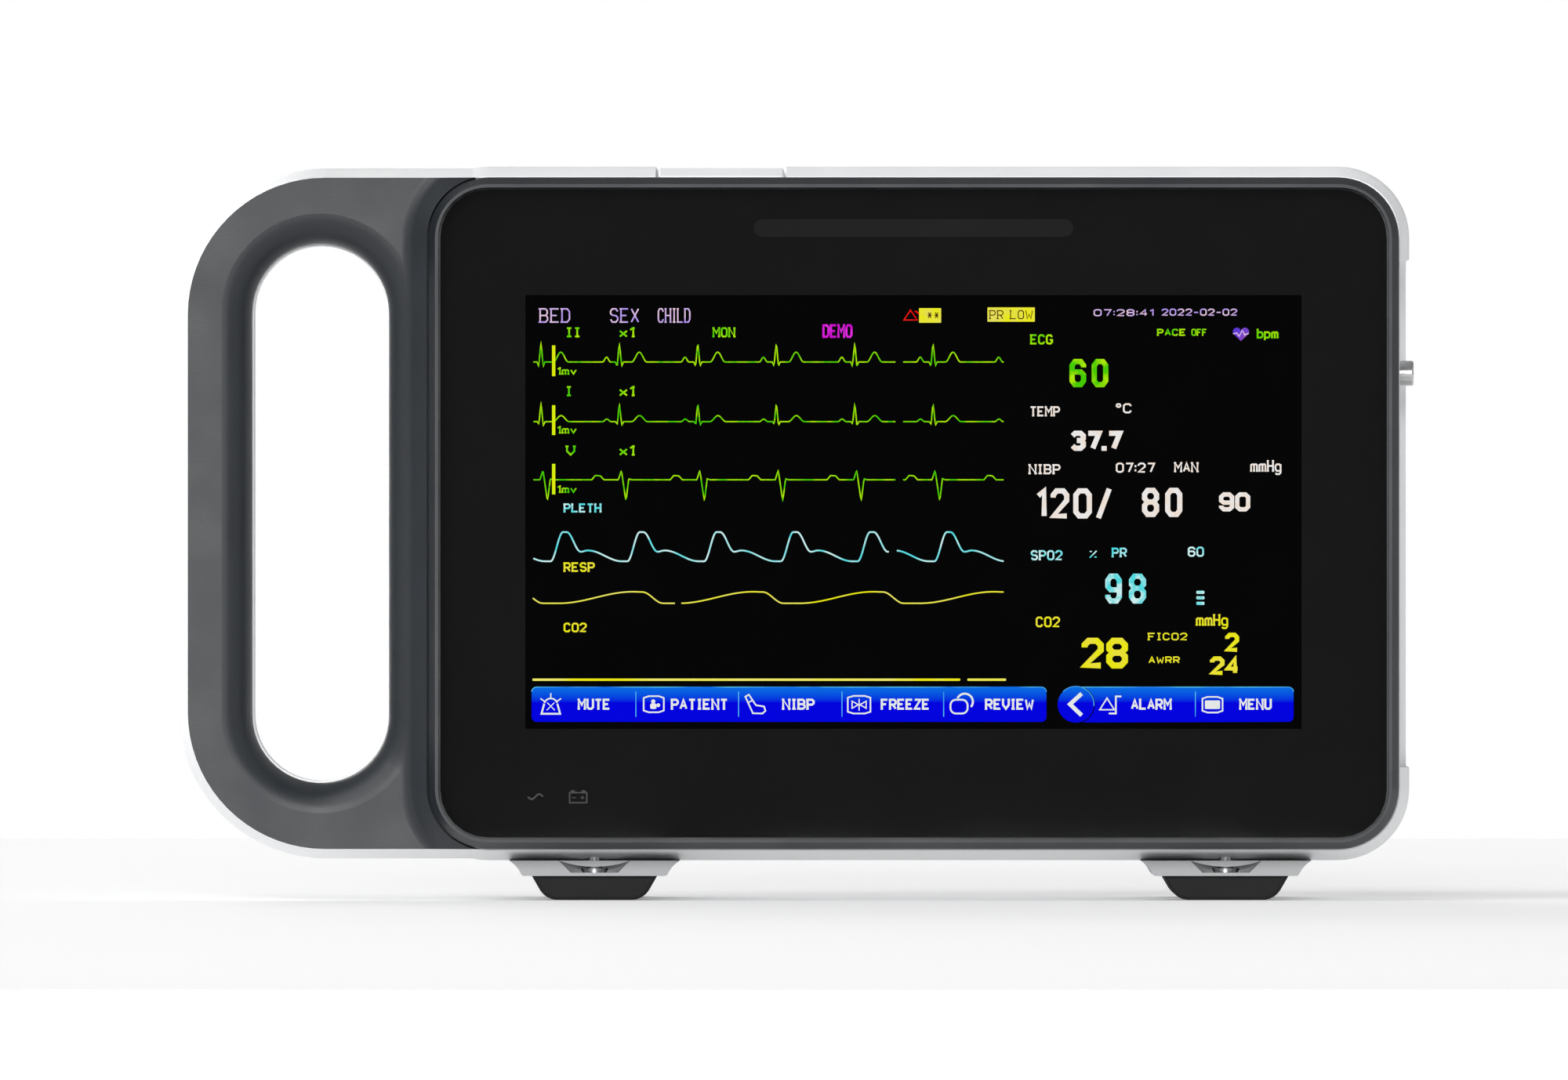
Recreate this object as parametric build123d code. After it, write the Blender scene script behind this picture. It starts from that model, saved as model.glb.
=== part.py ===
"""Transport patient monitor with a 7-inch touch screen and a grip handle on its left side.

Frame: +X to the right as the user sees the screen, +Y to the rear, +Z up. The origin is on the
table, under the middle of the monitor. All lengths are in millimetres.
"""

import math
import os

from build123d import *

os.makedirs("parts", exist_ok=True)

# ---------------------------------------------------------------- driving dimensions
ACTIVE_W, ACTIVE_H = 154.2, 86.2  # visible area of a 7-inch 1024 x 600 panel
GLASS_W, GLASS_H, GLASS_R, GLASS_T = 188.5, 129.2, 9.7, 1.8
LCD_W, LCD_H = ACTIVE_W + 7.8, ACTIVE_H + 9.8

CASE_W, CASE_H, CASE_R = 197.8, 138.3, 14.2  # white casing, without the handle
FRONT_Y, REAR_Y = -48.0, 48.0  # bezel lip and mounting plate: the overall depth
PART_Y = -32.0  # parting plane between the front housing and the rear shell
PLATE_T = 4.0  # rear mounting plate
CASE_REAR_Y = REAR_Y - PLATE_T
REAR_R = 10.0  # round of the casing's rear edges
FLARE, FLARE_RUN, FLARE_R = 2.05, 9.0, 25.0  # the casing widens from its front edge
WALL, RIM, RIM_END_Y = 2.8, 4.6, -20.0

HANDLE_REACH = 47.4  # from the casing's left wall to the grip's outer edge
HANDLE_STEP = 0.35  # the grip's top and bottom lie this far inside the casing's
HANDLE_R = 29.3
HANDLE_FACE_Y, HANDLE_REAR_Y = -40.0, -6.0
HANDLE_EDGE_R = 8.0
HOLE_R, HOLE_H, HOLE_GAP = 13.6, 107.3, 5.45  # finger hole, and its gap to the casing wall
HOLE_EDGE_R = 6.0
REAR_HOLE_SHRINK = 0.35  # the white half of the grip shows inside the dark half
COLLAR_W, COLLAR_H, COLLAR_FOOT_R = 4.1, 4.6, 3.0  # slope from the grip's face up to the bezel

BEZEL_INSET, BEZEL_R = 2.45, 12.1
BEZEL_SLOPE_W, BEZEL_SLOPE_RUN = 1.4, 3.4
GLASS_FACE_Y = -47.7
LEDGE_Y, LEDGE_T = -45.5, 2.0

NOZZLE_PROUD = 1.1  # how far the air nozzle stands out past the casing
RUBBER_H, BRACKET_H = 4.8, 3.05
FOOT_SPACING_X, FOOT_OFFSET_X = 125.7, -0.6
FOOT_FRONT_Y, FOOT_REAR_Y = -18.5, 27.0

BUTTON_W, BUTTON_DEPTH, BUTTON_GAP = 25.0, 14.4, 0.5
BUTTON_OFFSET_X = -38.25
CLEARANCE = 0.15

# ---------------------------------------------------------------- places worked out from them
TOTAL_W = HANDLE_REACH + CASE_W + NOZZLE_PROUD
LEFT_X = -TOTAL_W / 2
CASE_X = LEFT_X + HANDLE_REACH + CASE_W / 2
CASE_Z = RUBBER_H + BRACKET_H + CASE_H / 2
CASE_LEFT_X, CASE_RIGHT_X = CASE_X - CASE_W / 2, CASE_X + CASE_W / 2
CASE_TOP_Z, CASE_BOTTOM_Z = CASE_Z + CASE_H / 2, CASE_Z - CASE_H / 2
BEZEL_W, BEZEL_H = CASE_W - 2 * BEZEL_INSET, CASE_H - 2 * BEZEL_INSET + 0.2
HOLE_X = CASE_LEFT_X - HOLE_GAP - HOLE_R
BUTTON_X = CASE_X + BUTTON_OFFSET_X

# side connector bay
BAY_FLOOR_X = CASE_RIGHT_X - 2.05
BAY_REAR_Y, BAY_R = 20.0, 4.0
BAY_LOW_Z, BAY_HIGH_Z = 26.4, 127.6
PANEL_FRONT_Y, PANEL_REAR_Y, PANEL_LOW_Z, PANEL_HIGH_Z, PANEL_R = -29.0, 17.0, 29.0, 125.0, 3.0
PANEL_BACK_X = BAY_FLOOR_X - 3.6
SOCKET_FACE_X = BAY_FLOOR_X - 0.1
SOCKET_Y = -6.0
NIBP_Z, ECG_Z, SPO2_Z, CO2_Z, TEMP_Z = 105.0, 84.0, 64.5, 47.5, 34.5
TEMP_Y = (-13.5, 1.5)
BOARD_X, BOARD_T = 104.0, 1.6
NIBP_CUP_R, NIBP_WELL_R, NIBP_WELL_DEPTH, NOZZLE_R, NOZZLE_TIP_ROUND = 7.0, 6.3, 8.0, 2.49, 0.4
ECG_R, ECG_BORE_R, SPO2_R, SPO2_BORE_R = 9.5, 7.0, 7.5, 5.2
CO2_R, CO2_BORE_R, TEMP_R, TEMP_BORE_R = 6.0, 3.6, 4.6, 3.2
SOCKET_DEPTH, TEMP_DEPTH = 7.0, 11.0
SOCKET_FLOOR_X = SOCKET_FACE_X - SOCKET_DEPTH
CONTACT_R, CONTACT_L = 0.6, 1.2
ECG_RINGS, SPO2_RINGS = ((8, 4.6), (4, 2.0)), ((6, 3.0), (1, 0.0))  # contacts in each ring, ring radius
SOCKET_HOLES = [
    (SOCKET_Y, NIBP_Z, NIBP_CUP_R),
    (SOCKET_Y, ECG_Z, ECG_R),
    (SOCKET_Y, SPO2_Z, SPO2_R),
    (SOCKET_Y, CO2_Z, CO2_R),
    (TEMP_Y[0], TEMP_Z, TEMP_R),
    (TEMP_Y[1], TEMP_Z, TEMP_R),
]

# ports on the casing's left wall, behind the grip
PORT_Y = 18.0
DC_Z, LAN_Z, USB_Z = 100.0, 79.0, 60.0
PORT_PANEL_LOW_Z, PORT_PANEL_HIGH_Z, PORT_PANEL_W = 50.0, 110.0, 24.0
IO_BOARD_X = -58.4
DC_R, DC_BORE_R, DC_DEPTH = 5.6, 4.0, 9.0
LAN_W, LAN_H, USB_W, USB_H = 16.0, 14.0, 14.6, 7.4

# battery compartment on the rear face
BAT_X, BAT_Z = CASE_X, 42.6
DOOR_W, DOOR_H, DOOR_T, DOOR_GAP = 106.0, 44.0, 2.4, 0.4
DOOR_AXIS_Y, KNUCKLE_R, PIN_R = 43.0, 1.9, 0.8
DOOR_AXIS_X = BAT_X - DOOR_W / 2
LOCK_X = BAT_X + DOOR_W / 2 - 7.0
LOCK_HEAD_R, LOCK_SHANK_R, LOCK_HOLE_R = 4.0, 1.5, 2.1
BAY_DEPTH_Y, BAY_WALL = 14.0, 1.6

# mounting plate on the rear face: VESA MIS-B, 50 x 20 mm, M4
PLATE_Z, PLATE_W, PLATE_H = 97.0, 78.0, 46.0
MOUNT_X, MOUNT_Z, MOUNT_HOLE_R = 50.0, 20.0, 1.65
PLATE_SCREW_X, PLATE_SCREW_Z = 64.0, 34.0

SPEAKER_X, SPEAKER_Z, SPEAKER_R = -42.0, 108.0, 17.0
CASE_SCREW_X, CASE_SCREW_Z = 89.0, 60.0
HANDLE_SCREW_X, HANDLE_SCREW_Z = -83.0, 60.2
BOSS_R, HEAD_POCKET_R, SCREW_CLEAR_R = 3.75, 3.1, 1.7
SCREW_SEAT_Y = -24.0

CHASSIS_Y, CHASSIS_T = -39.0, 1.5
MAIN_BOARD_Y = -26.0
MAIN_BOARD_W, MAIN_BOARD_H = 150.0, 96.0
STANDOFF_SPOTS = [(sx * 70.0, sz * 43.0) for sx in (-1, 0, 1) for sz in (-1, 1)]
CHASSIS_SPOTS = [(sx * 85.5, sz * 40.0) for sx in (-1, 1) for sz in (-1, 1)]


# ---------------------------------------------------------------- small helpers
def slab(profile, y_front, y_rear):
    """A prism of a front-view profile (X, Z) between two depths."""
    plane = Plane((0, y_rear, 0), x_dir=(1, 0, 0), z_dir=(0, -1, 0))
    return extrude(plane * profile, amount=y_rear - y_front)


def side_slab(profile, x_low, x_high):
    """A prism of a side-view profile (Y, Z) between two X values."""
    plane = Plane((x_low, 0, 0), x_dir=(0, 1, 0), z_dir=(1, 0, 0))
    return extrude(plane * profile, amount=x_high - x_low)


def top_slab(profile, z_low, z_high):
    """A prism of a plan-view profile (X, Y) between two heights."""
    return extrude(Plane.XY.offset(z_low) * profile, amount=z_high - z_low)


def rod_y(x, z, r, y_front, y_rear):
    """A cylinder along Y."""
    return slab(Pos(x, z) * Circle(r), y_front, y_rear)


def rod_x(y, z, r, x_low, x_high):
    """A cylinder along X."""
    return side_slab(Pos(y, z) * Circle(r), x_low, x_high)


def rod_z(x, y, r, z_low, z_high):
    """A cylinder along Z."""
    return top_slab(Pos(x, y) * Circle(r), z_low, z_high)


def case_rect(inset, radius=None):
    """The casing's outline, drawn in by a distance."""
    radius = CASE_R - inset if radius is None else radius
    return Pos(CASE_X, CASE_Z) * RectangleRounded(
        CASE_W - 2 * inset, CASE_H - 2 * inset, radius
    )


def glass_rect(w, h, r):
    """A rounded rectangle centred on the glass."""
    return Pos(CASE_X, CASE_Z) * RectangleRounded(w, h, r)


def handle_outline(inset):
    """The grip's outline, which runs on inside the casing to its middle."""
    w = CASE_X - LEFT_X + HANDLE_R - inset
    h = CASE_H - 2 * HANDLE_STEP - 2 * inset
    return Pos(LEFT_X + inset + w / 2, CASE_Z) * RectangleRounded(w, h, HANDLE_R - inset)


def hole_outline(outset=0.0):
    """The finger hole: a tall slot with round ends."""
    slot = SlotOverall(HOLE_H + 2 * outset, 2 * (HOLE_R + outset))
    return Pos(HOLE_X, CASE_Z) * Rot(0, 0, 90) * slot


def end_face(solid, axis, last=True):
    """The face furthest along an axis."""
    return solid.faces().sort_by(axis)[-1 if last else 0]


def level_edges(solid, y):
    """The edges that lie wholly at one depth."""
    return [
        e
        for e in solid.edges()
        if abs(e.bounding_box().min.Y - y) < 0.01 and abs(e.bounding_box().max.Y - y) < 0.01
    ]


def flared(solid):
    """Draws a prism's front edge in by the flare, and softens where the flare ends."""
    front = end_face(solid, Axis.Y, last=False)
    solid = chamfer(front.outer_wire().edges(), FLARE, FLARE_RUN, reference=front)
    return fillet(level_edges(solid, PART_Y + FLARE_RUN), FLARE_R)


def each(fn, values):
    """The sum of fn(value) over some values."""
    made = [fn(v) for v in values]
    total = made[0]
    for item in made[1:]:
        total += item
    return total


def case_screw_spots():
    """Centres of the screws that hold the two halves of the casing together."""
    corners = [
        (CASE_X + sx * CASE_SCREW_X, CASE_Z + sz * CASE_SCREW_Z)
        for sx in (-1, 1)
        for sz in (-1, 1)
    ]
    return corners + [(HANDLE_SCREW_X, CASE_Z + sz * HANDLE_SCREW_Z) for sz in (-1, 1)]


def grid(x, z, w, h):
    """The four corners of a rectangle."""
    return [(x + sx * w / 2, z + sz * h / 2) for sx in (-1, 1) for sz in (-1, 1)]


# ---------------------------------------------------------------- casing
def rear_shell():
    """White rear half: the body tub and the back of the grip in one moulding."""
    body = slab(case_rect(0), PART_Y, CASE_REAR_Y)
    body = fillet(end_face(body, Axis.Y).edges(), REAR_R)
    body = flared(body)

    grip = slab(handle_outline(0), PART_Y, HANDLE_REAR_Y)
    grip = flared(grip)
    grip -= slab(hole_outline(-REAR_HOLE_SHRINK), PART_Y - 1, HANDLE_REAR_Y + 1)
    rear = end_face(grip, Axis.Y)
    grip = fillet(rear.outer_wire().edges(), HANDLE_EDGE_R)
    rear = end_face(grip, Axis.Y)
    grip = fillet(rear.inner_wires()[0].edges(), HOLE_EDGE_R)

    outer = body + grip
    tub = slab(case_rect(RIM), PART_Y - 1, RIM_END_Y)
    deep = slab(case_rect(WALL), RIM_END_Y, CASE_REAR_Y - WALL)
    deep = fillet(end_face(deep, Axis.Y).edges(), REAR_R - WALL)
    grip_room = slab(handle_outline(RIM) - hole_outline(2.6), PART_Y - 1, HANDLE_REAR_Y - 3)
    left_of_wall = Pos(CASE_LEFT_X - WALL - 50, CASE_Z) * Rectangle(100, CASE_H)
    grip_room &= slab(left_of_wall, PART_Y - 2, HANDLE_REAR_Y)
    shell = outer - tub - deep - grip_room

    # pads that carry the connector panel, the port panel and the battery door's frame
    side_pad = Pos(-2.5, CASE_Z) * Rectangle(59, 108)
    shell += side_slab(side_pad, PANEL_BACK_X, BAY_FLOOR_X - 0.2)
    for x, z in case_screw_spots():
        shell += rod_y(x, z, BOSS_R, PART_Y, HANDLE_REAR_Y if x < CASE_LEFT_X else CASE_REAR_Y) & outer
    shell -= side_bay()
    shell -= button_well()
    shell -= port_window()
    shell -= battery_window()
    for x, z in case_screw_spots():
        shell -= rod_y(x, z, SCREW_CLEAR_R, PART_Y - 1, SCREW_SEAT_Y)
        shell -= rod_y(x, z, HEAD_POCKET_R, SCREW_SEAT_Y, REAR_Y)
    for i in range(-3, 4):
        slot_h = 2 * math.sqrt((SPEAKER_R - 2) ** 2 - (4.4 * i) ** 2)
        slot = Pos(SPEAKER_X + 4.4 * i, SPEAKER_Z) * Rot(0, 0, 90) * SlotOverall(slot_h, 2.0)
        shell -= slab(slot, CASE_REAR_Y - WALL - 1, REAR_Y)
    for x, z in grid(CASE_X, PLATE_Z, PLATE_SCREW_X, PLATE_SCREW_Z):
        shell += rod_y(x, z, 3.2, 34.0, CASE_REAR_Y - 1)
        shell -= rod_y(x, z, 1.25, 35.0, REAR_Y)
    for x, z in grid(CASE_X, PLATE_Z, MOUNT_X, MOUNT_Z):
        shell -= rod_y(x, z, MOUNT_HOLE_R + 0.6, CASE_REAR_Y - WALL - 1, REAR_Y)
    shell -= slab(seal_profile(1.4), PART_Y - 1, PART_Y + 1.2)
    shell += door_knuckles(SHELL_KNUCKLES, PIN_R)
    return shell


def seal_profile(width):
    """A closed band round the casing's rim."""
    return case_rect(RIM - 0.6 - width) - case_rect(RIM - 0.6)


def side_bay():
    """The recess in the right wall, open to the front, and the panel's window in it."""
    w, h = BAY_REAR_Y - PART_Y + 12, BAY_HIGH_Z - BAY_LOW_Z
    mouth = Pos(BAY_REAR_Y - w / 2, (BAY_LOW_Z + BAY_HIGH_Z) / 2) * RectangleRounded(w, h, BAY_R)
    window = side_slab(panel_outline(0), PANEL_BACK_X - 5, CASE_RIGHT_X)
    return side_slab(mouth, BAY_FLOOR_X, CASE_RIGHT_X + 5) + window


def panel_outline(inset):
    """The connector panel's outline (Y, Z), drawn in by a distance."""
    w, h = PANEL_REAR_Y - PANEL_FRONT_Y, PANEL_HIGH_Z - PANEL_LOW_Z
    centre = Pos((PANEL_REAR_Y + PANEL_FRONT_Y) / 2, (PANEL_LOW_Z + PANEL_HIGH_Z) / 2)
    return centre * RectangleRounded(w - 2 * inset, h - 2 * inset, PANEL_R - inset)


def button_well():
    """The notch in the top wall that the power key moves in."""
    w, rear = BUTTON_W + 2 * BUTTON_GAP, PART_Y + BUTTON_DEPTH + 2 * BUTTON_GAP
    notch = Pos(BUTTON_X, (PART_Y - 2 + rear) / 2) * Rectangle(w, rear - PART_Y + 2)
    return top_slab(notch, CASE_TOP_Z - 12, CASE_TOP_Z + 5)


def port_window():
    """The opening for the port panel in the left wall."""
    return side_slab(port_outline(0), CASE_LEFT_X - 1, CASE_LEFT_X + WALL + 1)


def port_outline(inset):
    """The port panel's outline (Y, Z), drawn in by a distance."""
    h = PORT_PANEL_HIGH_Z - PORT_PANEL_LOW_Z
    centre = Pos(PORT_Y, (PORT_PANEL_LOW_Z + PORT_PANEL_HIGH_Z) / 2)
    return centre * RectangleRounded(PORT_PANEL_W - 2 * inset, h - 2 * inset, 3.0 - inset)


def door_outline(inset):
    """The battery door's outline (X, Z), drawn in by a distance."""
    return Pos(BAT_X, BAT_Z) * RectangleRounded(DOOR_W - 2 * inset, DOOR_H - 2 * inset, 3.0)


def battery_window():
    """The opening for the battery door, with room for its hinge."""
    window = slab(door_outline(-DOOR_GAP), CASE_REAR_Y - WALL - 1, REAR_Y)
    edge_room = rod_z(DOOR_AXIS_X, DOOR_AXIS_Y, 1.5, BAT_Z - DOOR_H / 2, BAT_Z + DOOR_H / 2)
    return window + edge_room + hinge_room(BAT_Z - 15.5, BAT_Z + 15.5)


def hinge_room(low, high):
    """Clearance round the door's hinge knuckles, between two heights."""
    return rod_z(DOOR_AXIS_X, DOOR_AXIS_Y, KNUCKLE_R + 0.5, low, high)


def front_face():
    """A wide plate at the depth of the grip's face, with the collar rising from it."""
    plate = slab(Pos(CASE_X - 40, CASE_Z) * Rectangle(CASE_W + 100, CASE_H + 60), HANDLE_FACE_Y, PART_Y)
    base = Plane((0, HANDLE_FACE_Y, 0), x_dir=(1, 0, 0), z_dir=(0, -1, 0))
    wide = glass_rect(BEZEL_W + 2 * COLLAR_W, BEZEL_H + 2 * COLLAR_W, BEZEL_R + COLLAR_W)
    taper = math.degrees(math.atan(COLLAR_W / COLLAR_H))
    face = plate + extrude(base * wide, amount=COLLAR_H, taper=taper)
    reach = BEZEL_W / 2 + COLLAR_W + 1
    foot = [e for e in level_edges(face, HANDLE_FACE_Y) if abs(e.center().X - CASE_X) < reach]
    return fillet([e for e in foot if abs(e.center().Z - CASE_Z) < reach - 20], COLLAR_FOOT_R)


def front_housing():
    """Charcoal front half: the face of the grip, the collar and the frame behind the bezel."""
    face = front_face()
    cut = Pos(CASE_X + 150, CASE_Z) * Rectangle(300, 2 * CASE_H)
    outline = (handle_outline(FLARE) - cut) + glass_rect(BEZEL_W + 0.2, BEZEL_H, BEZEL_R + 0.1)
    housing = face & slab(outline, HANDLE_FACE_Y - COLLAR_H - 1, PART_Y)
    housing -= slab(hole_outline(), HANDLE_FACE_Y - COLLAR_H - 1, PART_Y + 1)
    housing = fillet(hole_edges(housing), HOLE_EDGE_R)
    seat = glass_rect(BEZEL_W + 0.5, BEZEL_H + 0.5, BEZEL_R + 0.25)
    housing -= slab(seat, FRONT_Y, HANDLE_FACE_Y)

    housing -= slab(glass_rect(178, 120, 12), FRONT_Y, PART_Y + 1)
    grip_room = handle_outline(FLARE + 2.4) - hole_outline(4.6)
    left_of_wall = Pos(CASE_LEFT_X - WALL - 50, CASE_Z) * Rectangle(100, CASE_H)
    housing -= slab(grip_room & left_of_wall, HANDLE_FACE_Y + 2.4, PART_Y + 1)
    for x, z in case_screw_spots():
        if x < CASE_LEFT_X:
            housing += rod_y(x, z, BOSS_R, HANDLE_FACE_Y + 2, PART_Y)
        housing -= rod_y(x, z, 1.35, HANDLE_FACE_Y + 3.5, PART_Y + 1)
    for dx, dz in CHASSIS_SPOTS:
        housing += chassis_lug(CASE_X + dx, CASE_Z + dz)
    return housing


def hole_edges(solid):
    """The edges of the finger hole at the grip's face."""
    reach = HOLE_R + 0.1
    boxes = [(e, e.bounding_box()) for e in level_edges(solid, HANDLE_FACE_Y)]
    return [e for e, b in boxes if b.min.X > HOLE_X - reach and b.max.X < HOLE_X + reach]


def chassis_lug(x, z):
    """A lug on the frame's inner edge that the chassis plate is screwed to."""
    side = 1 if x > CASE_X else -1
    reach = Pos(x + side * 3, z) * Rectangle(10, 8)
    lug = slab(reach, CHASSIS_Y + CHASSIS_T + 0.05, PART_Y - 0.5)
    return lug - rod_y(x, z, 1.05, CHASSIS_Y, PART_Y)


def front_bezel():
    """Charcoal ring round the glass, with the ledge that the glass is glued to."""
    ring = slab(glass_rect(BEZEL_W, BEZEL_H, BEZEL_R), FRONT_Y, HANDLE_FACE_Y)
    front = end_face(ring, Axis.Y, last=False)
    ring = chamfer(front.edges(), BEZEL_SLOPE_W, BEZEL_SLOPE_RUN, reference=front)
    ring = fillet(level_edges(ring, FRONT_Y + BEZEL_SLOPE_RUN), 3.0)
    gap = 2 * CLEARANCE
    ring -= slab(glass_rect(GLASS_W + gap, GLASS_H + gap, GLASS_R + CLEARANCE), FRONT_Y - 1, LEDGE_Y)
    ring -= slab(glass_rect(168, 103, 3), FRONT_Y - 1, HANDLE_FACE_Y + 1)
    back_y = LEDGE_Y + LEDGE_T
    ring -= slab(glass_rect(BEZEL_W - 6, BEZEL_H - 6, BEZEL_R - 3), back_y, HANDLE_FACE_Y + 1)
    ring -= slab(light_bar_outline(0.3), LEDGE_Y - 1, HANDLE_FACE_Y)
    for x, z in indicator_spots():
        ring -= rod_y(x, z, 1.8, LEDGE_Y - 1, HANDLE_FACE_Y)
    return ring


def light_bar_outline(outset):
    """The alarm light's window above the screen."""
    w, h = 63.5 + 2 * outset, 3.5 + 2 * outset
    return Pos(CASE_X, CASE_Z + 56.7) * SlotOverall(w, h)


def indicator_spots():
    """Centres of the mains and battery indicators, below the screen's left end."""
    x, z = CASE_X - ACTIVE_W / 2, CASE_Z - 56.3
    return [(x + 2.0, z), (x + 10.5, z)]


def cover_glass():
    """Flat cover glass with the touch sensor on its back."""
    glass = slab(glass_rect(GLASS_W, GLASS_H, GLASS_R), GLASS_FACE_Y, GLASS_FACE_Y + GLASS_T)
    return chamfer(end_face(glass, Axis.Y, last=False).edges(), 0.25)


def glass_adhesive():
    """Foam tape between the glass and the bezel's ledge."""
    y = GLASS_FACE_Y + GLASS_T
    tape = slab(glass_rect(186, 126.8, 8.5) - glass_rect(169, 104, 3), y, LEDGE_Y)
    tape -= slab(light_bar_outline(0.5), y - 1, LEDGE_Y + 1)
    for x, zz in indicator_spots():
        tape -= rod_y(x, zz, 2.0, y - 1, LEDGE_Y + 1)
    return tape


def lcd_panel():
    """Liquid crystal cell."""
    return slab(Pos(CASE_X, CASE_Z) * Rectangle(LCD_W, LCD_H), -45.6, -44.0)


def lcd_backlight():
    """Pressed metal tray with the backlight."""
    tray = slab(Pos(CASE_X, CASE_Z) * Rectangle(LCD_W + 3, LCD_H + 4), -44.8, CHASSIS_Y)
    tray -= slab(Pos(CASE_X, CASE_Z) * Rectangle(LCD_W + 1, LCD_H + 1), -46, -44.0)
    return tray


def alarm_light_guide():
    """Clear bar that spreads the alarm light behind the glass."""
    return slab(light_bar_outline(0), -45.85, -41.7)


def indicator_light_pipes():
    """Two clear pipes behind the mains and battery symbols."""
    return each(lambda s: rod_y(s[0], s[1], 1.5, -45.85, -41.7), indicator_spots())


def led_boards():
    """The alarm light's and the indicators' boards, each with its LEDs."""
    z = CASE_Z + 56.7
    alarm = slab(Pos(CASE_X, z) * Rectangle(70, 6), CHASSIS_Y - 1, CHASSIS_Y)
    for i in range(8):
        alarm += slab(Pos(CASE_X + (i - 3.5) * 8, z) * Rectangle(3, 2.4), -41.6, CHASSIS_Y - 1)
    (x1, zi), (x2, _) = indicator_spots()
    signs = slab(Pos((x1 + x2) / 2, zi) * Rectangle(16, 6), CHASSIS_Y - 1, CHASSIS_Y)
    for x in (x1, x2):
        signs += slab(Pos(x, zi) * Rectangle(2, 1.6), -41.6, CHASSIS_Y - 1)
    return alarm + signs


def chassis_plate():
    """Folded aluminium plate that carries the boards."""
    plate = slab(glass_rect(176, 118, 11), CHASSIS_Y, CHASSIS_Y + CHASSIS_T)
    for dx, dz in CHASSIS_SPOTS:
        plate -= rod_y(CASE_X + dx, CASE_Z + dz, 1.3, CHASSIS_Y - 1, CHASSIS_Y + 3)
    for x in (-45, 45):
        plate -= slab(Pos(CASE_X + x, CASE_Z + 25) * SlotOverall(40, 8), CHASSIS_Y - 1, CHASSIS_Y + 3)
    plate -= slab(Pos(CASE_X, CASE_Z - 35) * Rectangle(50, 6), CHASSIS_Y - 1, CHASSIS_Y + 3)
    return plate


def case_gasket():
    """Silicone cord seal in the rear shell's rim groove."""
    band = case_rect(RIM - 0.7 - 1.2) - case_rect(RIM - 0.7)
    ring = slab(band, PART_Y + 0.02, PART_Y + 1.15)
    return ring - button_well()


def handle_core():
    """Aluminium strap inside the grip, which carries the load."""
    band = handle_outline(FLARE + 3.6) - handle_outline(FLARE + 7.8)
    left = Pos(HOLE_X - 40, CASE_Z) * Rectangle(84, CASE_H)
    return slab(band & left, HANDLE_FACE_Y + 3.2, HANDLE_REAR_Y - 6)


def pan_screw_y(x, z, seat_y, length, r=1.3, head_r=2.7, head_h=1.9):
    """A screw driven from the rear, with a cross recess in its head."""
    head = rod_y(x, z, head_r, seat_y, seat_y + head_h)
    head = fillet(end_face(head, Axis.Y).edges(), 0.7)
    for w, h in ((3.0, 0.7), (0.7, 3.0)):
        head -= slab(Pos(x, z) * Rectangle(w, h), seat_y + head_h - 1.1, seat_y + head_h + 1)
    return head + rod_y(x, z, r, seat_y - length, seat_y)


def case_screws():
    """Six screws that close the casing from the rear."""
    return each(lambda s: pan_screw_y(s[0], s[1], SCREW_SEAT_Y, 12), case_screw_spots())


# ---------------------------------------------------------------- electronics
def main_board():
    """Main processor board."""
    board = slab(glass_rect(MAIN_BOARD_W, MAIN_BOARD_H, 2), MAIN_BOARD_Y, MAIN_BOARD_Y + BOARD_T)
    for dx, dz in STANDOFF_SPOTS:
        board -= rod_y(CASE_X + dx, CASE_Z + dz, 1.6, MAIN_BOARD_Y - 1, MAIN_BOARD_Y + 3)
    return board


def main_board_components():
    """Shield can, processor, memory, connectors and capacitors on the main board's rear."""
    y = MAIN_BOARD_Y + BOARD_T
    blocks = [  # x, z, w, h, thickness, all from the board's centre
        (-38, 14, 40, 32, 2.8),
        (4, 20, 17, 17, 1.6),
        (26, 26, 12, 9, 1.2),
        (26, 14, 12, 9, 1.2),
        (50, 22, 20, 14, 2.2),
        (-40, -30, 30, 6, 4.0),
        (0, -34, 26, 6, 4.0),
        (40, -32, 20, 7, 4.0),
        (62, -8, 6, 24, 4.0),
        (8, -8, 9, 9, 3.0),
        (-14, -10, 9, 9, 3.0),
    ]
    made = each(
        lambda b: slab(Pos(CASE_X + b[0], CASE_Z + b[1]) * Rectangle(b[2], b[3]), y, y + b[4]),
        blocks,
    )
    for i in range(5):
        made += rod_y(CASE_X + 28 + 7 * i, CASE_Z - 16, 2.5, y, y + 4.2)
    return made


def board_standoffs():
    """Hexagonal pillars between the chassis plate and the main board."""

    def pillar(spot):
        x, z = CASE_X + spot[0], CASE_Z + spot[1]
        body = slab(Pos(x, z) * RegularPolygon(2.5, 6), CHASSIS_Y + CHASSIS_T, MAIN_BOARD_Y)
        return body - rod_y(x, z, 1.15, MAIN_BOARD_Y - 6, MAIN_BOARD_Y + 1)

    return each(pillar, STANDOFF_SPOTS)


def board_screws():
    """Screws of the main board and of the chassis plate."""
    y = MAIN_BOARD_Y + BOARD_T
    board = each(
        lambda s: pan_screw_y(CASE_X + s[0], CASE_Z + s[1], y, 5.5, 1.1, 2.2, 1.6), STANDOFF_SPOTS
    )
    spots = [(CASE_X + dx, CASE_Z + dz) for dx, dz in CHASSIS_SPOTS]
    for x, z in spots:
        head = rod_y(x, z, 2.2, CHASSIS_Y - 1.4, CHASSIS_Y)
        board += head + rod_y(x, z, 1.0, CHASSIS_Y, PART_Y - 1.5)
    return board


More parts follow.
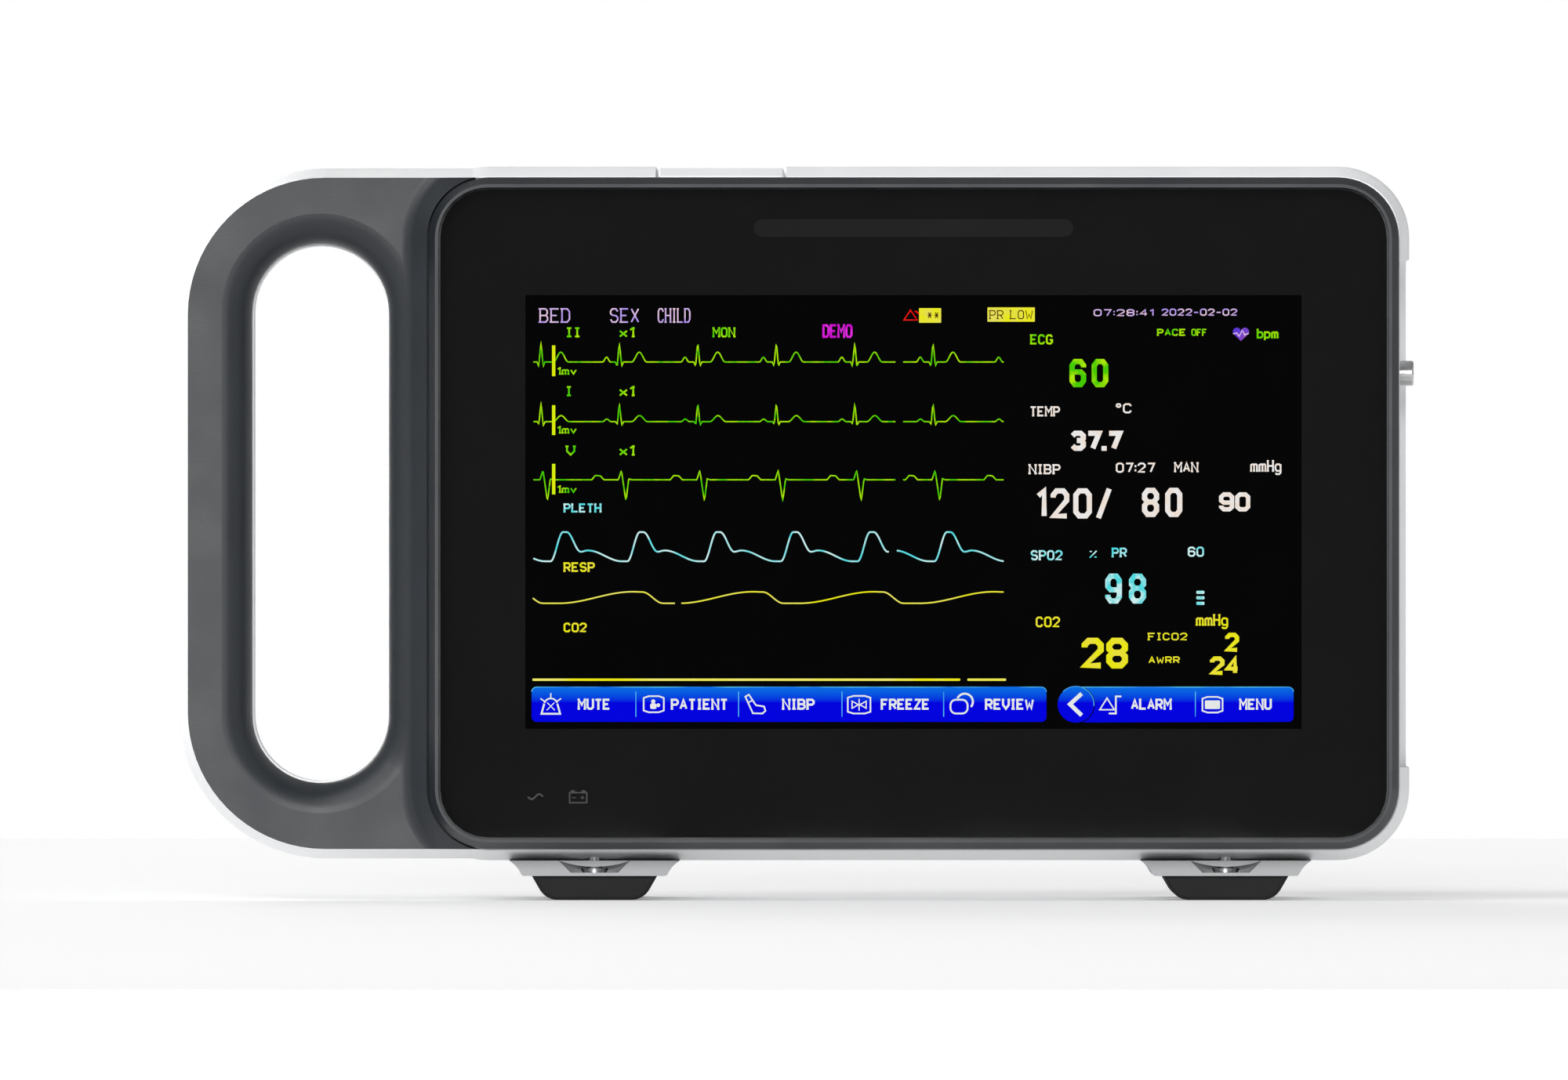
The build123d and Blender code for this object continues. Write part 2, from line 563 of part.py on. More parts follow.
def connector_board():
    """Measurement board behind the connector panel, with its parts on the inner side."""
    outline = Pos(-6, CASE_Z - 0.5) * RectangleRounded(40, 92, 2)
    board = side_slab(outline, BOARD_X, BOARD_X + BOARD_T)
    board -= rod_x(SOCKET_Y, NIBP_Z, 3.0, BOARD_X - 1, BOARD_X + 3)
    for y, z, w, h, t in (
        (-6, 84, 24, 18, 2.6),
        (-6, 62, 18, 14, 2.2),
        (6, 44, 10, 12, 3.0),
        (-16, 44, 10, 12, 3.0),
    ):
        board += side_slab(Pos(y, z) * Rectangle(w, h), BOARD_X - t, BOARD_X)
    return board


def connector_panel():
    """Light grey panel in the side bay, with a flange behind the window's edge."""
    plate = side_slab(panel_outline(CLEARANCE), PANEL_BACK_X - 0.05, BAY_FLOOR_X)
    plate = chamfer(end_face(plate, Axis.X).edges(), 0.3)
    flange = side_slab(panel_outline(-1.6), PANEL_BACK_X - 1.4, PANEL_BACK_X - 0.05)
    panel = plate + flange
    for y, z, r in SOCKET_HOLES:
        panel -= rod_x(y, z, r + 0.1, PANEL_BACK_X - 3, CASE_RIGHT_X)
        ring = rod_x(y, z, r + 0.9, BAY_FLOOR_X - 0.3, CASE_RIGHT_X)
        panel -= ring
    return panel


def socket_cup(y, z, r, bore_r, depth):
    """A round panel socket: a cup with a chamfered mouth, on the connector board."""
    cup = rod_x(y, z, r, BOARD_X + BOARD_T, SOCKET_FACE_X)
    cup -= rod_x(y, z, bore_r, SOCKET_FACE_X - depth, SOCKET_FACE_X + 1)
    return chamfer(end_face(cup, Axis.X).edges(), 0.3)


def ecg_socket():
    """Twelve-pole socket for the electrode trunk cable."""
    cup = socket_cup(SOCKET_Y, ECG_Z, ECG_R, ECG_BORE_R, SOCKET_DEPTH)
    key = Pos(SOCKET_Y, ECG_Z + ECG_BORE_R) * Rectangle(2.4, 1.6)
    cup -= side_slab(key, SOCKET_FLOOR_X, SOCKET_FACE_X + 1)
    return cup - contact_holes(contact_spots(ECG_Z, ECG_RINGS))


def spo2_socket():
    """Socket for the finger probe."""
    cup = socket_cup(SOCKET_Y, SPO2_Z, SPO2_R, SPO2_BORE_R, SOCKET_DEPTH)
    for a in (90, 210, 330):
        y = SOCKET_Y + SPO2_BORE_R * math.cos(math.radians(a))
        z = SPO2_Z + SPO2_BORE_R * math.sin(math.radians(a))
        key = Pos(y, z) * Rot(0, 0, a) * Rectangle(1.4, 1.6)
        cup -= side_slab(key, SOCKET_FLOOR_X, SOCKET_FACE_X + 1)
    return cup - contact_holes(contact_spots(SPO2_Z, SPO2_RINGS))


def contact_spots(z, rings):
    """Places of a socket's contacts, in rings round its axis."""
    return [
        (
            SOCKET_Y + r * math.cos(2 * math.pi * i / n),
            z + r * math.sin(2 * math.pi * i / n),
        )
        for n, r in rings
        for i in range(n)
    ]


def contact_holes(spots):
    """Holes in a socket's floor that its contacts sit in."""
    low = SOCKET_FLOOR_X - CONTACT_L
    return each(lambda s: rod_x(s[0], s[1], CONTACT_R, low, SOCKET_FACE_X), spots)


def socket_contacts():
    """Gold contact sleeves, flush with the floors of the two multipole sockets."""

    def sleeve(spot):
        y, z = spot
        low = SOCKET_FLOOR_X - CONTACT_L
        return rod_x(y, z, CONTACT_R, low, SOCKET_FLOOR_X) - rod_x(y, z, 0.32, low + 0.3, SOCKET_FACE_X)

    return each(sleeve, contact_spots(ECG_Z, ECG_RINGS) + contact_spots(SPO2_Z, SPO2_RINGS))


def co2_port():
    """Inlet for the gas sampling line."""
    return socket_cup(SOCKET_Y, CO2_Z, CO2_R, CO2_BORE_R, SOCKET_DEPTH)


def temp_jacks():
    """Two 6.35 mm jacks for the temperature probes."""
    return each(lambda y: socket_cup(y, TEMP_Z, TEMP_R, TEMP_BORE_R, TEMP_DEPTH), TEMP_Y)


def nibp_cup():
    """Round well in the panel that the cuff hose's end slips into."""
    cup = rod_x(SOCKET_Y, NIBP_Z, NIBP_CUP_R, SOCKET_FACE_X - NIBP_WELL_DEPTH - 2, SOCKET_FACE_X)
    cup -= rod_x(SOCKET_Y, NIBP_Z, NIBP_WELL_R, SOCKET_FACE_X - NIBP_WELL_DEPTH, SOCKET_FACE_X + 1)
    cup -= rod_x(SOCKET_Y, NIBP_Z, 1.6, BOARD_X, SOCKET_FACE_X)
    return chamfer(end_face(cup, Axis.X).edges(), 0.2)


def nibp_nozzle():
    """Turned metal nozzle for the cuff hose, with a barb for the inner hose."""
    floor_x, tip_x = SOCKET_FACE_X - NIBP_WELL_DEPTH, CASE_RIGHT_X + NOZZLE_PROUD
    stem = rod_x(SOCKET_Y, NIBP_Z, NOZZLE_R, floor_x, tip_x)
    stem = fillet(end_face(stem, Axis.X).edges(), NOZZLE_TIP_ROUND)
    barb = rod_x(SOCKET_Y, NIBP_Z, 1.45, 95.0, floor_x)
    return stem + barb - rod_x(SOCKET_Y, NIBP_Z, 0.9, 90, tip_x + 1)


HOSE_X = 82.0
PUMP_R, PUMP_PAD_T = 12.0, 2.0
PUMP_Z = CASE_BOTTOM_Z + WALL + PUMP_PAD_T + PUMP_R
MANIFOLD_Z, MANIFOLD_H = PUMP_Z + PUMP_R, 12.0


def nibp_hose():
    """Silicone tube from the manifold to the nozzle."""
    route = FilletPolyline(
        (103.0, SOCKET_Y, NIBP_Z),
        (HOSE_X, SOCKET_Y, NIBP_Z),
        (HOSE_X, SOCKET_Y, MANIFOLD_Z + MANIFOLD_H + 2.0),
        radius=14.0,
    )
    start = Plane(origin=route @ 0, z_dir=route % 0)
    return sweep(start * (Circle(2.6) - Circle(1.5)), path=route)


def nibp_pump():
    """Diaphragm pump with its motor."""
    head = rod_x(SOCKET_Y, PUMP_Z, PUMP_R, 64, 86)
    head += side_slab(Pos(SOCKET_Y, PUMP_Z) * RectangleRounded(24, 24, 3), 72, 84)
    motor = rod_x(SOCKET_Y, PUMP_Z, PUMP_R - 1, 34, 64)
    motor += rod_x(SOCKET_Y, PUMP_Z, 3.5, 31, 34)
    return head + motor


def nibp_pump_pads():
    """Two rubber saddles that the pump rests on."""

    def saddle(x):
        block = side_slab(Pos(SOCKET_Y, PUMP_Z - 10.5) * Rectangle(20, 7.0), x - 4, x + 4)
        return block - rod_x(SOCKET_Y, PUMP_Z, PUMP_R if x > 64 else PUMP_R - 1, x - 5, x + 5)

    return each(saddle, (42.0, 68.0))


def nibp_manifold():
    """Air manifold on the pump, with the barb for the hose."""
    top = MANIFOLD_Z + MANIFOLD_H
    block = top_slab(Pos(HOSE_X - 4, SOCKET_Y) * RectangleRounded(20, 14, 2), MANIFOLD_Z, top)
    barb = rod_z(HOSE_X, SOCKET_Y, 3.0, top, top + 2) + rod_z(HOSE_X, SOCKET_Y, 1.45, top, top + 7)
    return block + barb - rod_z(HOSE_X, SOCKET_Y, 0.9, top - 4, top + 8)


def nibp_valves():
    """Two solenoid valves on the manifold's side."""
    x_high, z = HOSE_X - 14, MANIFOLD_Z + 7

    def valve(y):
        coil = rod_x(y, z, 3.3, x_high - 16, x_high)
        return coil + rod_x(y, z, 2.2, x_high - 19, x_high - 16)

    return each(valve, (SOCKET_Y - 3.6, SOCKET_Y + 3.6))


def speaker():
    """Loudspeaker behind its grille."""
    rear = CASE_REAR_Y - WALL
    body = rod_y(SPEAKER_X, SPEAKER_Z, SPEAKER_R + 1, rear - 2.5, rear)
    body -= rod_y(SPEAKER_X, SPEAKER_Z, SPEAKER_R - 1.5, rear - 1.6, rear + 1)
    magnet = rod_y(SPEAKER_X, SPEAKER_Z, 8, rear - 12, rear - 6)
    basket = slab(Pos(SPEAKER_X, SPEAKER_Z) * Circle(12), rear - 6, rear - 2.5)
    return body + magnet + basket


def io_board():
    """Power and communication board behind the left wall."""
    outline = Pos(PORT_Y, 80) * RectangleRounded(34, 76, 2)
    board = side_slab(outline, IO_BOARD_X, IO_BOARD_X + BOARD_T)
    for y, z, w, h, t in ((12, 100, 16, 14, 6), (24, 60, 12, 20, 5), (10, 62, 8, 8, 6)):
        board += side_slab(Pos(y, z) * Rectangle(w, h), IO_BOARD_X + BOARD_T, IO_BOARD_X + BOARD_T + t)
    return board


def port_panel():
    """Light grey panel round the three ports."""
    plate = side_slab(port_outline(CLEARANCE), CASE_LEFT_X + 0.3, CASE_LEFT_X + 2.4)
    plate = chamfer(end_face(plate, Axis.X, last=False).edges(), 0.3)
    plate += side_slab(port_outline(-1.5), CASE_LEFT_X + WALL + 0.05, CASE_LEFT_X + WALL + 1.3)
    plate += side_slab(port_outline(CLEARANCE), CASE_LEFT_X + 2.3, CASE_LEFT_X + WALL + 0.1)
    for w, h, z in ((LAN_W, LAN_H, LAN_Z), (USB_W, USB_H, USB_Z)):
        plate -= side_slab(Pos(PORT_Y, z) * Rectangle(w + 0.3, h + 0.3), CASE_LEFT_X - 1, -60)
    return plate - rod_x(PORT_Y, DC_Z, DC_R + 0.15, CASE_LEFT_X - 1, -60)


def dc_inlet():
    """Round power inlet with its centre pin."""
    face_x = CASE_LEFT_X + 0.4
    cup = rod_x(PORT_Y, DC_Z, DC_R, face_x, IO_BOARD_X)
    cup -= rod_x(PORT_Y, DC_Z, DC_BORE_R, face_x - 1, face_x + DC_DEPTH)
    return cup + rod_x(PORT_Y, DC_Z, 1.0, face_x + 1.5, face_x + DC_DEPTH)


def lan_port():
    """RJ45 network socket."""
    face_x = CASE_LEFT_X + 0.4
    case = side_slab(Pos(PORT_Y, LAN_Z) * Rectangle(LAN_W, LAN_H), face_x, IO_BOARD_X)
    case -= side_slab(Pos(PORT_Y, LAN_Z) * Rectangle(11.8, 7.6), face_x - 1, face_x + 12)
    case -= side_slab(Pos(PORT_Y, LAN_Z - 4.6) * Rectangle(6.0, 3.2), face_x - 1, face_x + 12)
    for i in range(8):
        y = PORT_Y + (i - 3.5) * 1.02
        case += side_slab(Pos(y, LAN_Z + 3.4) * Rectangle(0.4, 0.8), face_x + 4, face_x + 12)
    return case


def usb_port():
    """USB socket with its tongue."""
    face_x = CASE_LEFT_X + 0.4
    case = side_slab(Pos(PORT_Y, USB_Z) * Rectangle(USB_W, USB_H), face_x, IO_BOARD_X)
    case -= side_slab(Pos(PORT_Y, USB_Z) * Rectangle(12.6, 5.4), face_x - 1, face_x + 9)
    return case + side_slab(Pos(PORT_Y, USB_Z + 1.0) * Rectangle(11.2, 1.9), face_x + 1, face_x + 9)


# ---------------------------------------------------------------- battery compartment
SHELL_KNUCKLES = [(-15.0, -9.0), (-3.0, 3.0), (9.0, 15.0)]
DOOR_KNUCKLES = [(-8.8, -3.2), (3.2, 8.8)]


def door_knuckles(spans, bore_r):
    """Hinge knuckles round the door's pin, over some spans of height."""

    def knuckle(span):
        low, high = BAT_Z + span[0], BAT_Z + span[1]
        return rod_z(DOOR_AXIS_X, DOOR_AXIS_Y, KNUCKLE_R, low, high)

    def web(span):
        low, high = BAT_Z + span[0], BAT_Z + span[1]
        side = 1 if spans is DOOR_KNUCKLES else -1
        depth = Pos(DOOR_AXIS_X + side * 2.0, DOOR_AXIS_Y - 0.4) * Rectangle(4.0, 1.8)
        return top_slab(depth, low, high)

    made = each(knuckle, spans) + each(web, spans)
    return made - rod_z(DOOR_AXIS_X, DOOR_AXIS_Y, bore_r, BAT_Z - 16, BAT_Z + 16)


def battery_door():
    """Rear door of the battery compartment."""
    inner_y = CASE_REAR_Y - DOOR_T
    plate = slab(door_outline(0), inner_y, CASE_REAR_Y)
    plate = chamfer(end_face(plate, Axis.Y).edges(), 0.35)
    for low, high in SHELL_KNUCKLES + DOOR_KNUCKLES:
        plate -= hinge_room(BAT_Z + low - 0.25, BAT_Z + high + 0.25)
    plate += door_knuckles(DOOR_KNUCKLES, PIN_R + 0.06)
    plate -= rod_y(LOCK_X, BAT_Z, LOCK_HEAD_R + 0.15, CASE_REAR_Y - 1.5, REAR_Y)
    plate -= rod_y(LOCK_X, BAT_Z, LOCK_SHANK_R + 0.06, inner_y - 1, REAR_Y)
    rib = Pos(BAT_X, BAT_Z) * (RectangleRounded(90, 34, 3) - RectangleRounded(87, 31, 2))
    return plate + slab(rib & (Pos(BAT_X - 2, BAT_Z) * Rectangle(92, 40)), inner_y - 1.0, inner_y)


def battery_door_pin():
    """Steel hinge pin."""
    return rod_z(DOOR_AXIS_X, DOOR_AXIS_Y, PIN_R, BAT_Z - 15.0, BAT_Z + 15.0)


def battery_door_lock():
    """Quarter-turn fastener with a coin slot."""
    head = rod_y(LOCK_X, BAT_Z, LOCK_HEAD_R, CASE_REAR_Y - 1.45, CASE_REAR_Y + 0.2)
    head = chamfer(end_face(head, Axis.Y).edges(), 0.3)
    head -= slab(Pos(LOCK_X, BAT_Z) * Rectangle(6.4, 1.2), CASE_REAR_Y - 0.7, REAR_Y)
    return head + rod_y(LOCK_X, BAT_Z, LOCK_SHANK_R, CASE_REAR_Y - DOOR_T - 4.0, CASE_REAR_Y - 1.45)


def battery_bay():
    """Tray behind the door, with the strike that the door's fastener turns in."""
    rear = CASE_REAR_Y - WALL
    w, h = DOOR_W + 5, DOOR_H + 5
    outer = slab(Pos(BAT_X, BAT_Z) * Rectangle(w, h), BAY_DEPTH_Y, rear)
    room_w, room_h = w - 2 * BAY_WALL, h - 2 * BAY_WALL
    outer -= slab(Pos(BAT_X, BAT_Z) * Rectangle(room_w, room_h), BAY_DEPTH_Y + BAY_WALL, rear + 1)
    strike = slab(Pos(LOCK_X + 2.5, BAT_Z) * Rectangle(13.5, 14), 35.0, 40.4)
    strike -= rod_y(LOCK_X, BAT_Z, LOCK_HOLE_R, 30, 45)
    return outer + strike - hinge_room(BAT_Z - 15.5, BAT_Z + 15.5)


def battery_pack():
    """Lithium-ion pack in its sleeve, with a pull tab."""
    pack = slab(Pos(BAT_X - 6, BAT_Z) * RectangleRounded(88, 38, 3), BAY_DEPTH_Y + BAY_WALL + 1, 38.0)
    return fillet(end_face(pack, Axis.Y).edges(), 1.0)


def battery_contacts():
    """Spring contacts at the compartment's floor."""
    y = BAY_DEPTH_Y + BAY_WALL
    return each(
        lambda i: slab(Pos(BAT_X - 40 + 6 * i, BAT_Z) * Rectangle(3, 8), y, y + 0.9), range(5)
    )


# ---------------------------------------------------------------- rear mounting plate
def mount_plate():
    """Aluminium plate with the four M4 holes of a 50 x 20 mm pattern."""
    plate = slab(Pos(CASE_X, PLATE_Z) * RectangleRounded(PLATE_W, PLATE_H, 5), CASE_REAR_Y, REAR_Y)
    plate = chamfer(end_face(plate, Axis.Y).edges(), 0.6)
    for x, z in grid(CASE_X, PLATE_Z, MOUNT_X, MOUNT_Z):
        plate -= rod_y(x, z, MOUNT_HOLE_R, CASE_REAR_Y - 1, REAR_Y + 1)
    for x, z in grid(CASE_X, PLATE_Z, PLATE_SCREW_X, PLATE_SCREW_Z):
        plate -= rod_y(x, z, 1.6, CASE_REAR_Y - 1, REAR_Y + 1)
        plate -= rod_y(x, z, 3.1, REAR_Y - 2.2, REAR_Y + 1)
    return plate


def mount_plate_screws():
    """Four screws that hold the plate to the rear shell."""
    return each(
        lambda s: pan_screw_y(s[0], s[1], REAR_Y - 2.2, 9.5, 1.2, 2.7, 1.8),
        grid(CASE_X, PLATE_Z, PLATE_SCREW_X, PLATE_SCREW_Z),
    )


# ---------------------------------------------------------------- power key
KEY_FLANGE_Z = CASE_TOP_Z - RIM - 0.25
KEY_BOARD_Z = 131.6
KEY_Y = PART_Y + BUTTON_GAP + BUTTON_DEPTH / 2
SWITCH_H, PLUNGER_R = 4.0, 1.7


def power_button():
    """Power key in the top wall, with the flange that keeps it in and its stem."""
    low, high = KEY_FLANGE_Z, CASE_TOP_Z - 0.3
    cap = top_slab(Pos(BUTTON_X, KEY_Y) * RectangleRounded(BUTTON_W, BUTTON_DEPTH, 1.2), low, high)
    slope = Plane((BUTTON_X, KEY_Y - BUTTON_DEPTH / 2, high - FLARE + 0.35))
    tilt = math.degrees(math.atan(FLARE / FLARE_RUN))
    cap -= slope * Rot(tilt, 0, 0) * Pos(0, 4, 3) * Box(BUTTON_W + 2, 20, 6)
    crown = [e for e in cap.edges() if e.center().Z > high - FLARE - 0.2 and e.length > 0.5]
    cap = fillet(crown, 0.5)
    flange = Pos(BUTTON_X, KEY_Y) * Rectangle(BUTTON_W + 3.0, BUTTON_DEPTH - 0.4)
    key = cap + top_slab(flange, low - 1.2, low)
    return key + rod_z(BUTTON_X, KEY_Y, 2.0, KEY_BOARD_Z + SWITCH_H + 0.9, low)


def button_board():
    """Small board under the power key, with its switch."""
    board = top_slab(Pos(BUTTON_X, KEY_Y) * RectangleRounded(26, 13.6, 1), KEY_BOARD_Z - 1.2, KEY_BOARD_Z)
    switch = top_slab(Pos(BUTTON_X, KEY_Y) * Rectangle(6, 6), KEY_BOARD_Z, KEY_BOARD_Z + SWITCH_H)
    return board + switch - rod_z(BUTTON_X, KEY_Y, PLUNGER_R + 0.05, KEY_BOARD_Z + 1, KEY_BOARD_Z + 9)


def switch_plunger():
    """The switch's plunger, which the key's stem presses."""
    return rod_z(BUTTON_X, KEY_Y, PLUNGER_R, KEY_BOARD_Z + SWITCH_H - 2, KEY_BOARD_Z + SWITCH_H + 0.9)


def button_spring():
    """Return spring round the switch."""
    low, high, wire = KEY_BOARD_Z + 0.3, KEY_FLANGE_Z - 1.2 - 0.3, 0.25
    helix = Pos(BUTTON_X, KEY_Y, low) * Helix(pitch=(high - low) / 5, height=high - low, radius=5.0)
    start = Plane(origin=helix @ 0, z_dir=helix % 0)
    return sweep(start * Circle(wire), path=helix, is_frenet=True)


# ---------------------------------------------------------------- feet
FOOT_TOP_W, FOOT_LOW_W, FOOT_DEPTH = 34.0, 28.4, 25.0
PAD_TOP_W, PAD_R = 25.0, 4.2
RECESS_TOP_R, RECESS_LOW_R, RECESS_H = 7.1, 4.7, 2.4
FOOT_SPOTS = {
    "front_left": (-1, FOOT_FRONT_Y),
    "front_right": (1, FOOT_FRONT_Y),
    "rear_left": (-1, FOOT_REAR_Y),
    "rear_right": (1, FOOT_REAR_Y),
}


def foot_x(side):
    """The middle of the left (-1) or right (1) feet."""
    return CASE_X + FOOT_OFFSET_X + side * FOOT_SPACING_X / 2


def foot_bracket(x, y):
    """White foot carrier with curved flanks and a scoop in its outer face."""
    low, high = RUBBER_H, CASE_BOTTOM_Z
    half_low, half_high = FOOT_LOW_W / 2, FOOT_TOP_W / 2
    with BuildLine() as edge:
        right = ThreePointArc(
            (half_high, high), (half_high - 1.35, high - 1.1), (half_low + 0.5, low + 0.6)
        )
        corner = ThreePointArc(right @ 1, (half_low + 0.2, low + 0.15), (half_low - 0.3, low))
        Line(corner @ 1, (-(half_low - 0.3), low))
        mirror((right, corner), about=Plane.YZ)
        Line((-half_high, high), (half_high, high))
    profile = Pos(x, 0) * make_face(edge.line)
    block = slab(profile, y - FOOT_DEPTH / 2, y + FOOT_DEPTH / 2)
    side = -1 if y < 0 else 1
    face_y = y + side * FOOT_DEPTH / 2
    cone = Cone(RECESS_LOW_R, RECESS_TOP_R, RECESS_H)
    block -= Pos(x, face_y, high - RECESS_H / 2) * cone
    lobe = slab(Pos(x, high + 20.4) * Circle(21.6), face_y - 0.8, face_y + 0.8)
    lobe &= Pos(x, face_y - side * 0.8, high - 1) * Box(20, 1.6, 2)
    block += lobe
    for dy in (-6.5, 6.5):
        block -= rod_z(x, y + dy, 1.6, low - 1, high + 1)
        block -= rod_z(x, y + dy, 3.0, low - 1, low + 1.5)
    return block


def rubber_foot(x, y):
    """Rubber pad with sloping flanks and round lower edges."""
    profile = Pos(x, RUBBER_H / 2) * Trapezoid(PAD_TOP_W, RUBBER_H, 60.0, rotation=180)
    pad = slab(profile, y - 10.5, y + 10.5)
    pad = fillet([e for e in pad.edges().filter_by(Axis.Y) if e.center().Z < 0.01], PAD_R)
    pad = fillet(end_face(pad, Axis.Z, last=False).edges().filter_by(Axis.X), 0.8)
    for dy in (-6.5, 6.5):
        pad += rod_z(x, y + dy, 2.6, RUBBER_H, RUBBER_H + 0.4)
    return pad


def foot_screws():
    """Two screws through each foot carrier into the rear shell."""

    def pair(spot):
        side, y = spot
        x = foot_x(side)
        made = []
        for dy in (-6.5, 6.5):
            head = rod_z(x, y + dy, 2.7, RUBBER_H + 0.5, RUBBER_H + 1.5)
            made.append(head + rod_z(x, y + dy, 1.3, RUBBER_H + 1.5, CASE_BOTTOM_Z + 2.4))
        return made[0] + made[1]

    return each(pair, FOOT_SPOTS.values())


def foot_holes():
    """Pilot holes for the foot screws in the rear shell's floor."""

    def pair(spot):
        side, y = spot
        return each(
            lambda dy: rod_z(foot_x(side), y + dy, 1.35, CASE_BOTTOM_Z - 1, CASE_BOTTOM_Z + 2.6),
            (-6.5, 6.5),
        )

    return each(pair, FOOT_SPOTS.values())


# ---------------------------------------------------------------- output
def parts():
    """Every node's name and shape."""
    made = {
        "rear_shell": rear_shell() - foot_holes(),
        "front_housing": front_housing(),
        "front_bezel": front_bezel(),
        "cover_glass": cover_glass(),
        "glass_adhesive": glass_adhesive(),
        "lcd_panel": lcd_panel(),
        "lcd_backlight": lcd_backlight(),
        "alarm_light_guide": alarm_light_guide(),
        "indicator_light_pipes": indicator_light_pipes(),
        "led_boards": led_boards(),
        "chassis_plate": chassis_plate(),
        "case_gasket": case_gasket(),
        "handle_core": handle_core(),
        "case_screws": case_screws(),
        "main_board": main_board(),
        "main_board_components": main_board_components(),
        "board_standoffs": board_standoffs(),
        "board_screws": board_screws(),
        "connector_board": connector_board(),
        "connector_panel": connector_panel(),
        "ecg_socket": ecg_socket(),
        "spo2_socket": spo2_socket(),
        "socket_contacts": socket_contacts(),
        "co2_port": co2_port(),
        "temp_jacks": temp_jacks(),
        "nibp_cup": nibp_cup(),
        "nibp_nozzle": nibp_nozzle(),
        "nibp_hose": nibp_hose(),
        "nibp_pump": nibp_pump(),
        "nibp_pump_pads": nibp_pump_pads(),
        "nibp_manifold": nibp_manifold(),
        "nibp_valves": nibp_valves(),
        "speaker": speaker(),
        "io_board": io_board(),
        "port_panel": port_panel(),
        "dc_inlet": dc_inlet(),
        "lan_port": lan_port(),
        "usb_port": usb_port(),
        "battery_door": battery_door(),
        "battery_door_pin": battery_door_pin(),
        "battery_door_lock": battery_door_lock(),
        "battery_bay": battery_bay(),
        "battery_pack": battery_pack(),
        "battery_contacts": battery_contacts(),
        "mount_plate": mount_plate(),
        "mount_plate_screws": mount_plate_screws(),
        "power_button": power_button(),
        "button_board": button_board(),
        "switch_plunger": switch_plunger(),
        "button_spring": button_spring(),
        "foot_screws": foot_screws(),
    }
    for name, (side, y) in FOOT_SPOTS.items():
        made[f"foot_bracket_{name}"] = foot_bracket(foot_x(side), y)
        made[f"rubber_foot_{name}"] = rubber_foot(foot_x(side), y)
    return made


for node, shape in parts().items():
    export_step(shape, f"parts/{node}.step")
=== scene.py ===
"""Looks of the transport patient monitor: its finishes, its lit screen, the light and the camera.

Lengths are in metres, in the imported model's frame. What is printed behind the glass or shown on the
screen is laid out in millimetres, x to the right and y down from the lit area's top left corner.
"""

import math

import bpy
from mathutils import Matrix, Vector


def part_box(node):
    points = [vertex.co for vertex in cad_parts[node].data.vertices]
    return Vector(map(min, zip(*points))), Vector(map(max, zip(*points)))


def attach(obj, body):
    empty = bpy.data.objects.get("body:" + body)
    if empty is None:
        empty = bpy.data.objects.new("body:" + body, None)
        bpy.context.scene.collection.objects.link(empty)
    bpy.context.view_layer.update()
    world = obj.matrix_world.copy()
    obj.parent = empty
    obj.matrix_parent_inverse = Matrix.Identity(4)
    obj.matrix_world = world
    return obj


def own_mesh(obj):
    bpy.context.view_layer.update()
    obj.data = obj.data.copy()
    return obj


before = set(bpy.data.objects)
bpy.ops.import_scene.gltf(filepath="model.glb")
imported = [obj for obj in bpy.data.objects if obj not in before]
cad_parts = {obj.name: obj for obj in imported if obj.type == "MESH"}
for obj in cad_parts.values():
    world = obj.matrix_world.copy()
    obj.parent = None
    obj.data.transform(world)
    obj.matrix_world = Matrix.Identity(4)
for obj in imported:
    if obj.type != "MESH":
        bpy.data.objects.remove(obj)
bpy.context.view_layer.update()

MM = 0.001

# ---------------------------------------------------------------- places worked out from the frame
GLASS_LOW, GLASS_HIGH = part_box("cover_glass")
LCD_LOW, LCD_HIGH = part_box("lcd_panel")
LIT_W, LIT_H, LIT_RISE = 154.2, 86.2, 0.27
LIT_LEFT = (LCD_LOW.x + LCD_HIGH.x) / 2 - LIT_W / 2 * MM
LIT_TOP = (LCD_LOW.z + LCD_HIGH.z) / 2 + (LIT_H / 2 + LIT_RISE) * MM
INK_Y = GLASS_HIGH.y - 0.03 * MM
SCREEN_Y = LCD_LOW.y - 0.04 * MM
LAYER = 0.02 * MM
SHEET = 0.01 * MM

# ---------------------------------------------------------------- colours, as seen on the screen
GREEN, LIME = (70, 205, 0), (175, 236, 10)
BAR_LIME, BAR_YELLOW = (200, 240, 20), (225, 236, 10)
YELLOW, PALE_YELLOW, WARM_YELLOW = (236, 232, 20), (238, 232, 105), (236, 226, 60)
BOX_YELLOW, BOX_PALE = (236, 234, 30), (228, 222, 90)
CYAN, PALE_CYAN = (85, 220, 226), (205, 240, 240)
WARM_WHITE, WHITE = (240, 226, 214), (238, 237, 236)
LAVENDER, PALE_LAVENDER = (178, 150, 240), (232, 200, 226)
MAGENTA, PINK = (205, 10, 205), (236, 60, 236)
RED, DEEP_RED = (240, 30, 14), (205, 0, 0)
HEART, HEART_BLUE = (150, 80, 190), (90, 55, 215)
KEY_TOP, KEY_BODY = (6, 112, 228), (0, 0, 226)
KEY_EDGE, KEY_EDGE_DIM = (95, 205, 240), (20, 110, 232)
KEY_WHITE = (226, 234, 232)
DARK_MARK, DARK_MARK_EDGE = (60, 20, 8), (100, 60, 10)


def light_of(value):
    """The linear light that one screen colour value, 0 to 255, stands for."""
    part = value / 255
    return part / 12.92 if part <= 0.04045 else ((part + 0.055) / 1.055) ** 2.4


